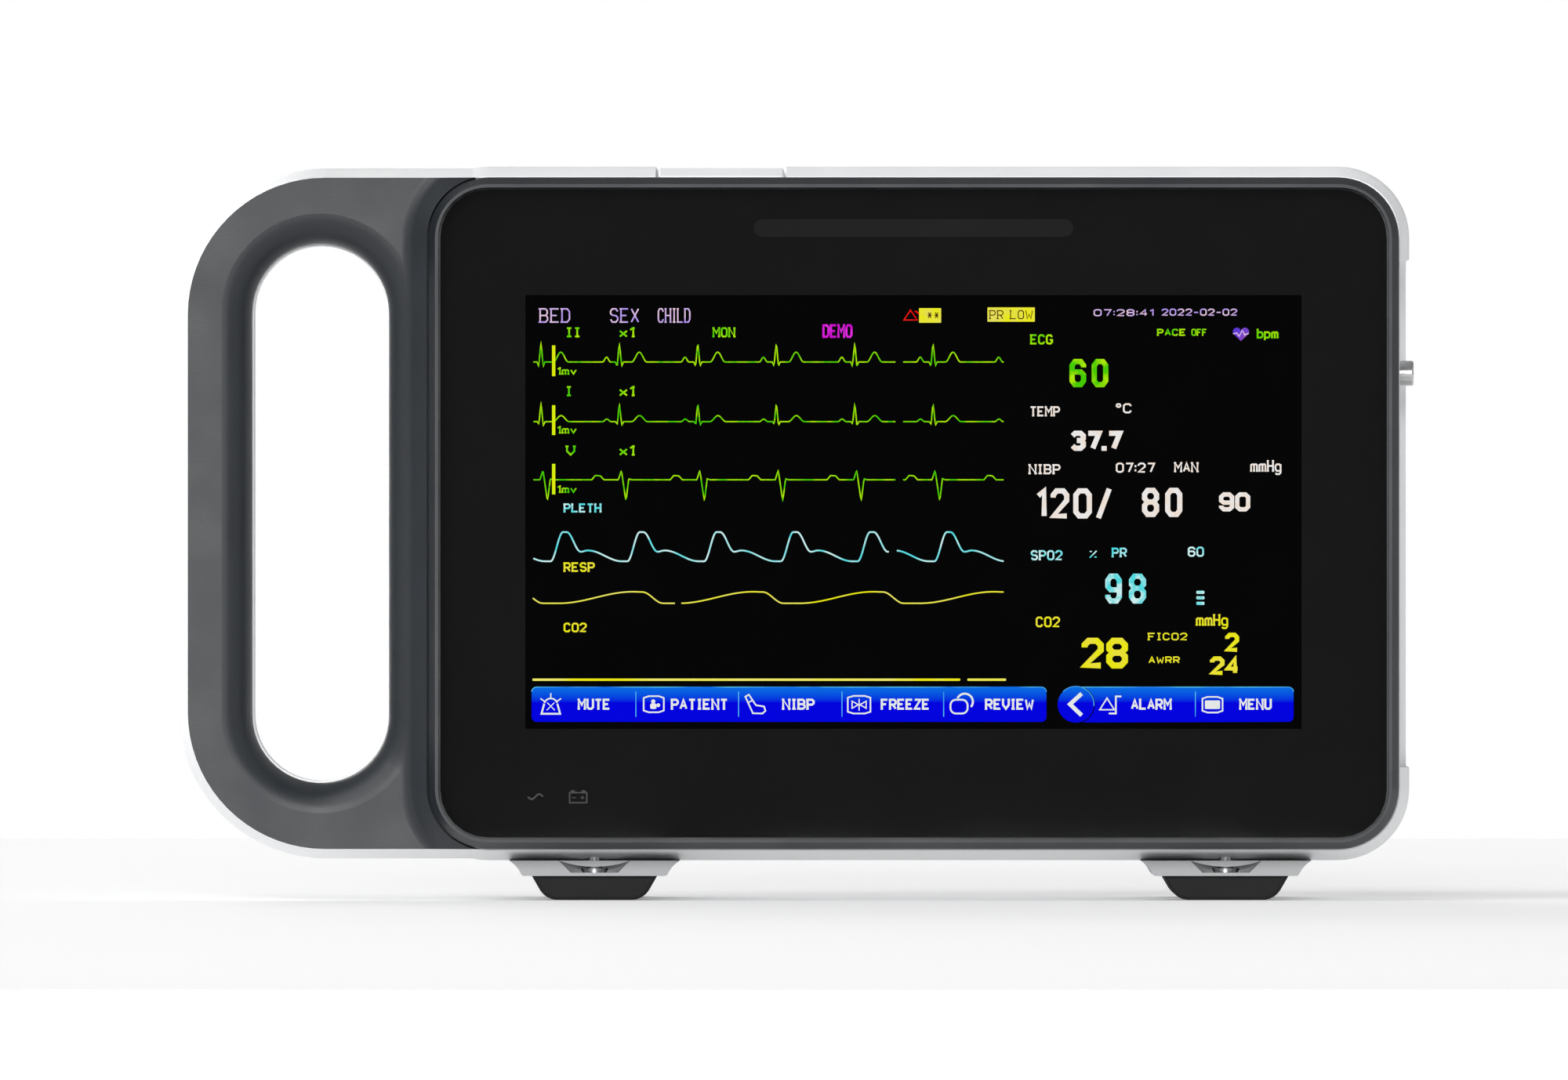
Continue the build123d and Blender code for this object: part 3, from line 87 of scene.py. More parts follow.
def colour(rgb):
    """A screen colour as the linear colour with alpha that a socket takes."""
    return (*(light_of(value) for value in rgb), 1.0)


# ---------------------------------------------------------------- material helpers
def add(tree, kind, **values):
    """A new shader node with the values of its sockets, named with underscores for spaces."""
    node = tree.nodes.new("ShaderNode" + kind)
    for name, value in values.items():
        node.inputs[name.replace("_", " ")].default_value = value
    return node


def new_material(name, base, roughness, metallic=0.0):
    """A material whose main shader has its plain values set. Returns its tree and its shader."""
    material = bpy.data.materials.new(name)
    material.use_nodes = True
    shader = material.node_tree.nodes["Principled BSDF"]
    shader.inputs["Base Color"].default_value = (*base, 1.0)
    shader.inputs["Roughness"].default_value = roughness
    shader.inputs["Metallic"].default_value = metallic
    return material, material.node_tree, shader


def spots(tree, size, detail=2.0, stretch=(1.0, 1.0, 1.0)):
    """Noise fixed to the piece, with spots of about a size in millimetres."""
    place = add(tree, "TexCoord")
    scale = add(tree, "Mapping", Scale=stretch)
    noise = add(tree, "TexNoise", Scale=1 / (size * MM), Detail=detail)
    tree.links.new(place.outputs["Object"], scale.inputs["Vector"])
    tree.links.new(scale.outputs["Vector"], noise.inputs["Vector"])
    return noise.outputs["Fac"]


def ramp(tree, source, low, high, start=0.3, end=0.7):
    """Turns a number into a colour between two others."""
    node = tree.nodes.new("ShaderNodeValToRGB")
    for stop, place, value in zip(node.color_ramp.elements, (start, end), (low, high)):
        stop.position = place
        stop.color = value
    tree.links.new(source, node.inputs["Fac"])
    return node.outputs["Color"]


def spread(tree, source, low, high):
    """Maps noise, which mostly lies between 0.3 and 0.7, to a range."""
    node = add(tree, "MapRange", From_Min=0.3, From_Max=0.7, To_Min=low, To_Max=high)
    tree.links.new(source, node.inputs["Value"])
    return node.outputs["Result"]


def math_node(tree, operation, first, second):
    """One operation on two inputs, each a link or a plain number."""
    node = tree.nodes.new("ShaderNodeMath")
    node.operation = operation
    for place, value in zip(node.inputs, (first, second)):
        if isinstance(value, float):
            place.default_value = value
        else:
            tree.links.new(value, place)
    return node.outputs[0]


def average(tree, first, second):
    """The middle of two numbers."""
    return math_node(tree, "MULTIPLY", math_node(tree, "ADD", first, second), 0.5)


def relief(tree, shader, height, depth):
    """Raises and sinks the surface by a depth in millimetres."""
    bump = add(tree, "Bump", Strength=1.0, Distance=depth * MM)
    tree.links.new(height, bump.inputs["Height"])
    tree.links.new(bump.outputs["Normal"], shader.inputs["Normal"])


def moulded(name, base, roughness, grain=0.5, depth=0.008, mottle=0.06, patch=14.0, metallic=0.0,
            stretch=(1.0, 1.0, 1.0), specular=0.5):
    """A surface with a fine grain, faint patches of colour and an uneven gloss."""
    material, tree, shader = new_material(name, base, roughness, metallic)
    shader.inputs["Specular IOR Level"].default_value = specular
    fine = spots(tree, grain, stretch=stretch)
    broad = spots(tree, patch, detail=3.0, stretch=stretch)
    dark = (*(part * (1 - mottle) for part in base), 1.0)
    pale = (*(min(part * (1 + mottle), 1.0) for part in base), 1.0)
    tint = ramp(tree, average(tree, fine, broad), dark, pale, start=0.36, end=0.64)
    tree.links.new(tint, shader.inputs["Base Color"])
    gloss = spread(tree, broad, roughness * 0.9, min(roughness * 1.12, 1.0))
    tree.links.new(gloss, shader.inputs["Roughness"])
    relief(tree, shader, fine, depth)
    return material


def brushed(name, base, roughness, along):
    """A metal with fine scratches along one axis: 0, 1 or 2."""
    stretch = [1.0, 1.0, 1.0]
    stretch[along] = 0.06
    return moulded(name, base, roughness, grain=0.25, depth=0.002, mottle=0.12, patch=5.0,
                   metallic=1.0, stretch=tuple(stretch))


def circuit_board(name):
    """Green solder resist over copper, which shows as a paler grid of tracks."""
    material, tree, shader = new_material(name, (0.01, 0.09, 0.045), 0.35)
    place = add(tree, "TexCoord")
    tracks = add(tree, "TexBrick", Scale=1 / (9 * MM), Mortar_Size=0.03, Mortar_Smooth=0.2,
                 Brick_Width=0.9, Row_Height=0.16, Color1=(0.008, 0.075, 0.035, 1.0),
                 Color2=(0.011, 0.1, 0.05, 1.0), Mortar=(0.03, 0.2, 0.09, 1.0))
    tree.links.new(place.outputs["Object"], tracks.inputs["Vector"])
    tree.links.new(tracks.outputs["Color"], shader.inputs["Base Color"])
    relief(tree, shader, tracks.outputs["Fac"], 0.02)
    return material


def mirrored_share(tree):
    """How much a sheet of glass mirrors: more at a shallow angle, and nothing from inside."""
    angle = add(tree, "LayerWeight", Blend=0.5)
    side = add(tree, "NewGeometry")
    share = add(tree, "MapRange", From_Min=0.0, From_Max=1.0, To_Min=0.04, To_Max=1.0)
    steep = math_node(tree, "POWER", angle.outputs["Facing"], 5.0)
    tree.links.new(steep, share.inputs["Value"])
    outside = math_node(tree, "SUBTRACT", 1.0, side.outputs["Backfacing"])
    return math_node(tree, "MULTIPLY", share.outputs["Result"], outside)


def glass(name):
    """Clear glass, which lets through what it doesn't mirror."""
    material, tree, shader = new_material(name, (0.02, 0.02, 0.02), 0.03)
    tree.nodes.remove(shader)
    clear = add(tree, "BsdfTransparent")
    mirror = add(tree, "BsdfGlossy")
    mix = add(tree, "MixShader")
    smears = spread(tree, spots(tree, 30.0, detail=4.0), 0.01, 0.035)
    tree.links.new(smears, mirror.inputs["Roughness"])
    tree.links.new(mirrored_share(tree), mix.inputs["Fac"])
    tree.links.new(clear.outputs[0], mix.inputs[1])
    tree.links.new(mirror.outputs[0], mix.inputs[2])
    tree.links.new(mix.outputs[0], tree.nodes["Material Output"].inputs["Surface"])
    return material


def lit(name, first, second, size=6.0):
    """A lit mark on the screen, whose colour wanders between two."""
    material, tree, shader = new_material(name, (0.0, 0.0, 0.0), 0.5)
    shader.inputs["Specular IOR Level"].default_value = 0.0
    shader.inputs["Emission Strength"].default_value = 1.0
    tint = ramp(tree, spots(tree, size), colour(first), colour(second), start=0.38, end=0.62)
    tree.links.new(tint, shader.inputs["Emission Color"])
    return material


def key_glow(name, top, bottom):
    """The screen keys' blue, which turns paler over their upper half."""
    material, tree, shader = new_material(name, (0.0, 0.0, 0.0), 0.5)
    shader.inputs["Specular IOR Level"].default_value = 0.0
    shader.inputs["Emission Strength"].default_value = 1.0
    place = add(tree, "TexCoord")
    axes = add(tree, "SeparateXYZ")
    height = add(tree, "MapRange", From_Min=bottom, From_Max=top, To_Min=0.0, To_Max=1.0)
    tree.links.new(place.outputs["Object"], axes.inputs[0])
    tree.links.new(axes.outputs["Z"], height.inputs["Value"])
    tint = ramp(tree, height.outputs["Result"], colour(KEY_BODY), colour(KEY_TOP), 0.55, 1.0)
    tree.links.new(tint, shader.inputs["Emission Color"])
    return material


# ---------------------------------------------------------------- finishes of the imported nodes
def make_finishes():
    """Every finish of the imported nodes, by the name of its slot."""
    return {
        "casing_white": moulded("casing_white", (0.86, 0.87, 0.88), 0.5, grain=0.45, mottle=0.02),
        "charcoal_plastic": moulded("charcoal_plastic", (0.013, 0.016, 0.02), 0.44, grain=0.5,
                                    depth=0.012, mottle=0.14, specular=0.45),
        "bezel_plastic": moulded("bezel_plastic", (0.009, 0.012, 0.016), 0.42, grain=0.4,
                                 depth=0.003, mottle=0.05, specular=0.4),
        "cover_glass": glass("cover_glass"),
        "foam_tape": moulded("foam_tape", (0.02, 0.02, 0.021), 0.9, grain=0.3, depth=0.05),
        "lcd": moulded("lcd", (0.0005, 0.0005, 0.0006), 0.4, grain=0.2, depth=0.0004, mottle=0.3,
                       specular=0.0),
        "steel_plate": brushed("steel_plate", (0.55, 0.56, 0.57), 0.34, along=2),
        "aluminium": brushed("aluminium", (0.6, 0.61, 0.62), 0.32, along=0),
        "clear_plastic": moulded("clear_plastic", (0.72, 0.74, 0.76), 0.2, grain=1.5, depth=0.003),
        "circuit_board": circuit_board("circuit_board"),
        "electronic_parts": moulded("electronic_parts", (0.02, 0.02, 0.022), 0.45, grain=0.25),
        "screw_steel": brushed("screw_steel", (0.48, 0.49, 0.5), 0.3, along=1),
        "silicone": moulded("silicone", (0.4, 0.41, 0.42), 0.55, grain=0.8, depth=0.004),
        "panel_grey": moulded("panel_grey", (0.55, 0.56, 0.58), 0.5, grain=0.45, mottle=0.03),
        "socket_green": moulded("socket_green", (0.02, 0.2, 0.07), 0.35, grain=0.4, depth=0.004),
        "socket_blue": moulded("socket_blue", (0.02, 0.09, 0.32), 0.35, grain=0.4, depth=0.004),
        "socket_yellow": moulded("socket_yellow", (0.65, 0.4, 0.02), 0.35, grain=0.4, depth=0.004),
        "socket_black": moulded("socket_black", (0.02, 0.02, 0.022), 0.4, grain=0.4, depth=0.006),
        "contact_gold": brushed("contact_gold", (0.75, 0.5, 0.16), 0.22, along=0),
        "nozzle_metal": brushed("nozzle_metal", (0.56, 0.56, 0.56), 0.26, along=0),
        "foot_carrier": moulded("foot_carrier", (0.44, 0.45, 0.46), 0.55, grain=0.45, mottle=0.03),
        "foot_rubber": moulded("foot_rubber", (0.016, 0.016, 0.017), 0.7, grain=0.35, depth=0.02,
                               mottle=0.12, specular=0.2),
        "battery_sleeve": moulded("battery_sleeve", (0.03, 0.035, 0.045), 0.3, grain=2.5,
                                  depth=0.015),
        "spring_steel": brushed("spring_steel", (0.5, 0.51, 0.52), 0.25, along=2),
    }


def dress_nodes():
    """Gives every node of the frame the finish of its material slot."""
    finishes = make_finishes()
    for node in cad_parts.values():
        for place in node.material_slots:
            place.material = finishes[place.material.name.split(".")[0]]


def shorten_spring():
    """Gives the return spring a copy of its mesh, which it alone uses."""
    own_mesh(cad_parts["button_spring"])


# ---------------------------------------------------------------- letters, as strokes on a grid
LETTER_H, SPACE_W = 6.0, 2.0
LETTER_GAP, WIDE_GAP = 1.9, 2.7
SMALL_STROKE, LARGE_STROKE, HEAVY_STROKE = 0.34, 1.02, 1.2
ROUND = [(1, 0), (3, 0), (4, 1), (4, 5), (3, 6), (1, 6), (0, 5), (0, 1), (1, 0)]
OPEN_ROUND = [(4, 1.3), (3, 0), (1, 0), (0, 1), (0, 5), (1, 6), (3, 6), (4, 4.7)]
LETTERS = {
    "0": [ROUND],
    "1": [[(0, 1.2), (1.7, 0), (1.7, 6)]],
    "2": [[(0, 1.6), (0, 1), (1, 0), (3, 0), (4, 1), (4, 2.3), (0.1, 6), (4, 6)]],
    "3": [[(0, 1), (1, 0), (3, 0), (4, 1), (4, 2.1), (3.2, 2.9), (1.6, 2.9)],
          [(3.2, 2.9), (4, 3.8), (4, 5), (3, 6), (1, 6), (0, 5)]],
    "4": [[(3, 6), (3, 0), (0, 4.2), (4, 4.2)]],
    "6": [[(4, 1.5), (4, 1), (3, 0), (1, 0), (0, 1), (0, 5), (1, 6), (3, 6), (4, 5), (4, 3.5),
           (3, 2.7), (0, 2.7)]],
    "7": [[(0, 0), (4, 0), (1.7, 6)]],
    "8": [[(1, 0), (3, 0), (4, 1), (4, 2), (3, 2.9), (1, 2.9), (0, 2), (0, 1), (1, 0)],
          [(1, 2.9), (3, 2.9), (4, 3.8), (4, 5), (3, 6), (1, 6), (0, 5), (0, 3.8), (1, 2.9)]],
    "9": [[(0, 4.5), (0, 5), (1, 6), (3, 6), (4, 5), (4, 1), (3, 0), (1, 0), (0, 1), (0, 2.5),
           (1, 3.3), (4, 3.3)]],
    "A": [[(0, 6), (2, 0), (4, 6)], [(0.8, 4), (3.2, 4)]],
    "B": [[(0, 0), (0, 6), (3, 6), (4, 5), (4, 3.9), (3.1, 3), (0, 3)],
          [(0, 0), (2.9, 0), (3.8, 0.9), (3.8, 2.1), (3.1, 3)]],
    "C": [OPEN_ROUND],
    "D": [[(0, 0), (2.8, 0), (4, 1.3), (4, 4.7), (2.8, 6), (0, 6), (0, 0)]],
    "E": [[(4, 0), (0, 0), (0, 6), (4, 6)], [(0, 3), (3, 3)]],
    "F": [[(4, 0), (0, 0), (0, 6)], [(0, 3), (3, 3)]],
    "G": [OPEN_ROUND, [(2.3, 3.4), (4, 3.4), (4, 5.5)]],
    "H": [[(0, 0), (0, 6)], [(4, 0), (4, 6)], [(0, 3), (4, 3)]],
    "I": [[(1.1, 0), (1.1, 6)], [(0, 0), (2.2, 0)], [(0, 6), (2.2, 6)]],
    "L": [[(0, 0), (0, 6), (4, 6)]],
    "M": [[(0, 6), (0, 0), (2.2, 3.4), (4.4, 0), (4.4, 6)]],
    "N": [[(0, 6), (0, 0), (4, 6), (4, 0)]],
    "O": [ROUND],
    "P": [[(0, 6), (0, 0), (3, 0), (4, 1), (4, 2.3), (3, 3.3), (0, 3.3)]],
    "R": [[(0, 6), (0, 0), (3, 0), (4, 1), (4, 2.3), (3, 3.3), (0, 3.3)], [(2, 3.3), (4, 6)]],
    "S": [[(4, 1.2), (3, 0), (1, 0), (0, 1), (0, 2.1), (1, 2.9), (3, 3.1), (4, 3.9), (4, 5), (3, 6),
           (1, 6), (0, 4.8)]],
    "T": [[(0, 0), (4, 0)], [(2, 0), (2, 6)]],
    "U": [[(0, 0), (0, 5), (1, 6), (3, 6), (4, 5), (4, 0)]],
    "V": [[(0, 0), (0, 3.4), (2, 6), (4, 3.4), (4, 0)]],
    "W": [[(0, 0), (1, 6), (2.4, 2.5), (3.8, 6), (4.8, 0)]],
    "X": [[(0, 0), (4, 6)], [(4, 0), (0, 6)]],
    "Z": [[(0, 0), (4, 0), (0, 6), (4, 6)]],
    "b": [[(0, 0), (0, 6), (3, 6), (4, 5), (4, 3), (3, 2), (0, 2)]],
    "p": [[(0, 8), (0, 2), (3, 2), (4, 3), (4, 5), (3, 6), (0, 6)]],
    "m": [[(0, 6), (0, 2)], [(0, 2.7), (0.9, 2), (1.7, 2), (2.3, 2.7), (2.3, 6)],
          [(2.3, 2.7), (3.1, 2), (4, 2), (4.6, 2.7), (4.6, 6)]],
    "g": [[(4, 2), (4, 7), (3, 8), (1, 8), (0, 7.4)],
          [(4, 3), (3, 2), (1, 2), (0, 3), (0, 5), (1, 6), (4, 6)]],
    "x": [[(0, 2), (4, 6)], [(4, 2), (0, 6)]],
    "v": [[(0, 2), (2, 6), (4, 2)]],
    "%": [[(4, 0), (0, 6)], [(0, 0.6), (1.2, 0.6)], [(2.8, 5.4), (4, 5.4)]],
    "°": [[(0.5, 0), (1.5, 0), (2, 0.6), (2, 1.4), (1.5, 2), (0.5, 2), (0, 1.4), (0, 0.6),
           (0.5, 0)]],
    "*": [[(0, 3), (3, 3)], [(0.6, 1.4), (2.4, 4.6)], [(2.4, 1.4), (0.6, 4.6)]],
    ":": [[(0, 1.2), (0, 2.6)], [(0, 4.2), (0, 5.6)]],
    ".": [[(0, 5.1), (0, 7)]],
    "-": [[(0, 3.2), (3, 3.2)]],
    "/": [[(3.2, -0.5), (0, 6.5)]],
    " ": [],
}


def feet(stroke):
    """Short bars across the ends of a letter's upright strokes."""
    bars = []
    for (xa, ya), (xb, yb) in zip(stroke, stroke[1:]):
        ends = [y for y in (ya, yb) if xa == xb and y in (0, LETTER_H)]
        bars += [[(xa - 0.8, y), (xa + 0.8, y)] for y in ends]
    return bars


# ---------------------------------------------------------------- flat drawing, in millimetres
def arc(cx, cy, r, start, end, steps=12):
    """Points of an arc, with angles in degrees from the right, turning downward."""
    turns = [math.radians(start + (end - start) * i / steps) for i in range(steps + 1)]
    return [(cx + r * math.cos(turn), cy + r * math.sin(turn)) for turn in turns]


def round_box(left, top, right, bottom, r):
    """Points of a rounded rectangle."""
    return (
        arc(left + r, top + r, r, 180, 270, 6) + arc(right - r, top + r, r, 270, 360, 6)
        + arc(right - r, bottom - r, r, 0, 90, 6) + arc(left + r, bottom - r, r, 90, 180, 6)
    )


def box(left, top, right, bottom):
    """Points of a rectangle."""
    return [(left, top), (right, top), (right, bottom), (left, bottom)]


def moved(points, dx, dy):
    """Points moved by a distance across and down."""
    return [(x + dx, y + dy) for x, y in points]


def unit(dx, dy):
    """A direction of length one."""
    length = math.hypot(dx, dy) or 1.0
    return dx / length, dy / length


SHARPEST = 0.55  # keeps the mitre of a sharp corner short


class Drawing:
    """Flat marks of one finish at one depth, which become one thin piece."""

    def __init__(self, name, material, y, slot):
        self.name, self.material, self.y, self.slot = name, material, y, slot
        self.points, self.faces = [], []

    def cover(self, points, faces):
        """Adds flat faces, given by the numbers of their points."""
        first = len(self.points)
        self.points += points
        self.faces += [[first + number for number in face] for face in faces]

    def shape(self, outline, *holes):
        """Adds a filled outline, with any holes in it."""
        curve = bpy.data.curves.new("outline", "CURVE")
        curve.dimensions = "2D"
        curve.fill_mode = "BOTH"
        for loop in (outline, *holes):
            spline = curve.splines.new("POLY")
            spline.points.add(len(loop) - 1)
            for point, (x, y) in zip(spline.points, loop):
                point.co = (x, -y, 0.0, 1.0)
            spline.use_cyclic_u = True
        self.take(curve)

    def take(self, curve):
        """Adds a curve's filled faces."""
        holder = bpy.data.objects.new("flat", curve)
        mesh = bpy.data.meshes.new_from_object(holder)
        points = [(vertex.co.x, -vertex.co.y) for vertex in mesh.vertices]
        faces = [list(face.vertices) for face in mesh.polygons]
        self.cover(points, faces)
        bpy.data.objects.remove(holder)
        bpy.data.meshes.remove(mesh)
        bpy.data.curves.remove(curve)

    def line(self, points, width, closed=False):
        """Adds a stroke of even width with mitred corners."""
        count = len(points)
        ahead = points[1:] + points[:1] if closed else points[1:]
        runs = [unit(xb - xa, yb - ya) for (xa, ya), (xb, yb) in zip(points, ahead)]
        sides = []
        for i, (x, y) in enumerate(points):
            before = runs[i - 1] if closed or i else runs[0]
            after = runs[i] if i < len(runs) else runs[-1]
            tx, ty = unit(before[0] + after[0], before[1] + after[1])
            reach = width / 2 / max(tx * after[0] + ty * after[1], SHARPEST)
            sides += [(x - ty * reach, y + tx * reach), (x + ty * reach, y - tx * reach)]
        faces = []
        for i in range(len(runs)):
            j = (i + 1) % count
            faces.append([2 * i, 2 * i + 1, 2 * j + 1, 2 * j])
        self.cover(sides, faces)

    def word(self, text, left, top, right, bottom, width=SMALL_STROKE, slab=True, gap=LETTER_GAP):
        """Writes a word into a box, with strokes of a width. Slab letters have short feet."""
        spans = [max((x for stroke in LETTERS[sign] for x, _ in stroke), default=SPACE_W)
                 for sign in text]
        across = (right - left - width) / (sum(spans) + gap * (len(text) - 1))
        down = (bottom - top - width) / LETTER_H
        start = 0.0
        for sign, span in zip(text, spans):
            strokes = LETTERS[sign]
            if slab:
                strokes = strokes + [foot for stroke in strokes for foot in feet(stroke)]
            for stroke in strokes:
                places = [(left + width / 2 + (start + x) * across, top + width / 2 + y * down)
                          for x, y in stroke]
                closed = len(places) > 2 and places[0] == places[-1]
                self.line(places[:-1] if closed else places, width, closed)
            start += span + gap

    def build(self):
        """Makes the piece, which rides on the monitor."""
        corners = [(LIT_LEFT + x * MM, self.y, LIT_TOP - y * MM) for x, y in self.points]
        mesh = bpy.data.meshes.new(self.name)
        mesh.from_pydata(corners, [], self.faces)
        mesh.materials.append(self.material)
        piece = bpy.data.objects.new(self.name, mesh)
        bpy.context.collection.objects.link(piece)
        face_front(mesh)
        thicken(piece)
        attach(piece, "monitor")


def face_front(mesh):
    """Turns every flat face towards the user."""
    mesh.update()
    wrong = [face.index for face in mesh.polygons if face.normal.y > 0]
    for number in wrong:
        mesh.polygons[number].flip()
    mesh.update()


def thicken(piece):
    """Gives a flat piece its small thickness, behind its front."""
    solid = piece.modifiers.new("thickness", "SOLIDIFY")
    solid.thickness = SHEET
    solid.offset = -1.0
    deps = bpy.context.evaluated_depsgraph_get()
    mesh = bpy.data.meshes.new_from_object(piece.evaluated_get(deps))
    piece.modifiers.clear()
    piece.data = mesh


def on_screen(name, material, layer=0):
    """A drawing on the lit panel, on one of its layers."""
    return Drawing(name, material, SCREEN_Y - layer * LAYER, "lcd")


def behind_glass(name, material, layer=0):
    """A drawing on the back of the glass, on one of its layers."""
    return Drawing(name, material, INK_Y - layer * LAYER, "cover_glass")


# ---------------------------------------------------------------- traces
def bump(x, centre, half, height):
    """A round wave of a trace."""
    if abs(x - centre) >= half:
        return 0.0
    return height * (1 + math.cos(math.pi * (x - centre) / half)) / 2


def between(x, corners):
    """A height on straight runs between corners, or zero outside them."""
    for (xa, ya), (xb, yb) in zip(corners, corners[1:]):
        if xa <= x < xb:
            return ya + (yb - ya) * (x - xa) / (xb - xa)
    return 0.0


def eased(x, corners):
    """A height on smooth slopes between the turning points of a wave."""
    for (xa, ya), (xb, yb) in zip(corners, corners[1:]):
        if xa <= x < xb:
            part = (x - xa) / (xb - xa)
            return ya + (yb - ya) * (1 - math.cos(math.pi * part)) / 2
    return corners[-1][1]


BEAT, BEAT_START, BEAT_LEAD = 15.58, 3.1, 1.2
BREATH, BREATH_START = 23.9, 6.6


def lead_ii(x):
    """Height of lead II at a distance from its tallest point."""
    spike = between(x, [(-0.75, 0.0), (-0.45, -0.93), (0.0, 4.05), (0.45, -0.93), (0.75, 0.0)])
    return spike + bump(x, 3.95, 1.5, 1.95) + bump(x, BEAT - 2.55, 0.8, 0.95)


def lead_i(x):
    """Height of lead I at a distance from its tallest point."""
    spike = between(x, [(-0.75, 0.0), (-0.4, -0.5), (0.0, 3.9), (0.45, -0.8), (0.8, 0.0)])
    return spike + bump(x, 4.0, 1.6, 1.2) + bump(x, BEAT - 2.5, 0.85, 0.5)


def lead_v(x):
    """Height of lead V at a distance from the middle of its swing."""
    spike = between(x, [(-1.1, 0.0), (-0.5, 1.9), (0.4, -4.3), (0.95, 0.2), (1.5, 0.0)])
    return spike + between(x, [(9.2, 0.0), (9.9, 0.85), (10.9, 0.78), (11.6, 0.0)])


def pleth(x):
    """Height of the pulse wave from its foot."""
    return eased(x, [(0.0, 0.0), (2.5, 5.8), (3.2, 5.8), (6.0, 1.9), (7.4, 2.15), (14.2, 0.0)])


def breath(x):
    """Height of the breathing wave from the start of its slow rise."""
    return eased(x, [(0.0, 0.0), (14.8, 2.3), (16.6, 2.25), (20.8, 0.0)])


def trace(drawing, wave, starts, base, left, right, gap=None, width=0.24, step=0.15):
    """Draws one wave again and again from its starts, with the gap that the sweep leaves."""
    spans = [(left, gap[0]), (gap[1], right)] if gap else [(left, right)]
    for low, high in spans:
        count = int((high - low) / step)
        places = [low + (high - low) * i / count for i in range(count + 1)]
        drawing.line([(x, base - height_at(wave, starts, x)) for x in places], width)


def height_at(wave, starts, x):
    """The height of the beat that a place falls in, which begins a little before its start."""
    period = starts[1] - starts[0]
    return wave((x - starts[0] + BEAT_LEAD) % period - BEAT_LEAD)


def beats(first, period):
    """The places of the first two of a row of beats."""
    return first, first + period


# ---------------------------------------------------------------- the screen
def mark_lead(labels, bars, name, name_right, y, bar_top, bar_bottom):
    """A lead's name, its gain, and the bar that shows one millivolt."""
    labels.word(name, 8.1, y - 1.0, name_right, y + 1.0)
    labels.word("x1", 18.6, y - 1.0, 21.6, y + 1.0)
    bars.shape(box(5.3, bar_top, 5.95, bar_bottom))
    labels.word("1mv", 6.3, bar_bottom - 1.75, 10.2, bar_bottom - 0.3, width=0.26)


def green_marks():
    """The three leads, and the heart rate."""
    labels = on_screen("screen_heart_text", lit("lit_green_text", LIME, GREEN, 2.5))
    traces = on_screen("screen_heart_traces", lit("lit_green", GREEN, LIME, 1.8))
    bars = on_screen("screen_scale_bars", lit("lit_lime", BAR_LIME, BAR_YELLOW), layer=1)
    starts = beats(BEAT_START, BEAT)
    trace(traces, lead_ii, starts, 13.3, 1.6, 95.0, gap=(73.5, 75.05))
    trace(traces, lead_i, starts, 25.15, 1.6, 95.0, gap=(73.5, 75.05))
    trace(traces, lead_v, beats(4.0, BEAT), 36.7, 1.6, 95.0, gap=(73.5, 75.05))
    mark_lead(labels, bars, "II", 10.9, 7.4, 10.0, 16.1)
    mark_lead(labels, bars, "I", 9.2, 19.1, 21.9, 27.8)
    mark_lead(labels, bars, "V", 9.9, 30.9, 33.55, 39.6)
    labels.word("MON", 37.2, 6.4, 41.7, 8.4)
    labels.word("ECG", 100.3, 7.8, 104.8, 9.8)
    labels.word("PACE", 125.5, 6.7, 131.2, 8.1, width=0.28)
    labels.word("OFF", 132.3, 6.7, 135.4, 8.1, width=0.26)
    labels.word("bpm", 145.3, 6.7, 149.6, 8.6)
    labels.word("6", 108.1, 12.7, 111.4, 18.3, width=LARGE_STROKE, slab=False)
    labels.word("0", 112.5, 12.7, 115.8, 18.3, width=LARGE_STROKE, slab=False)
    return [labels, traces, bars]


def cyan_marks():
    """The pulse wave and the oxygen saturation."""
    traces = on_screen("screen_pulse_trace", lit("lit_cyan", CYAN, PALE_CYAN, 3.0))
    labels = on_screen("screen_pulse_text", lit("lit_pale_cyan", CYAN, PALE_CYAN, 1.6))
    trace(traces, pleth, beats(5.0, 15.25), 52.9, 1.6, 95.0, gap=(72.2, 73.8), width=0.32)
    labels.word("PLETH", 7.6, 41.4, 15.1, 43.2)
    labels.word("SPO2", 100.4, 50.7, 106.7, 52.7)
    labels.word("%", 112.0, 50.7, 113.6, 52.3, width=0.24, slab=False)
    labels.word("PR", 116.5, 50.2, 119.5, 52.1)
    labels.word("60", 131.6, 50.0, 134.8, 52.0)
    labels.word("9", 115.2, 55.35, 118.5, 61.3, width=LARGE_STROKE, slab=False)
    labels.word("8", 119.9, 55.35, 123.3, 61.3, width=LARGE_STROKE, slab=False)
    for i in range(3):
        top = 58.75 + 1.1 * i
        labels.shape(round_box(133.3, top, 134.9, top + 0.62, 0.2))
    return [traces, labels]


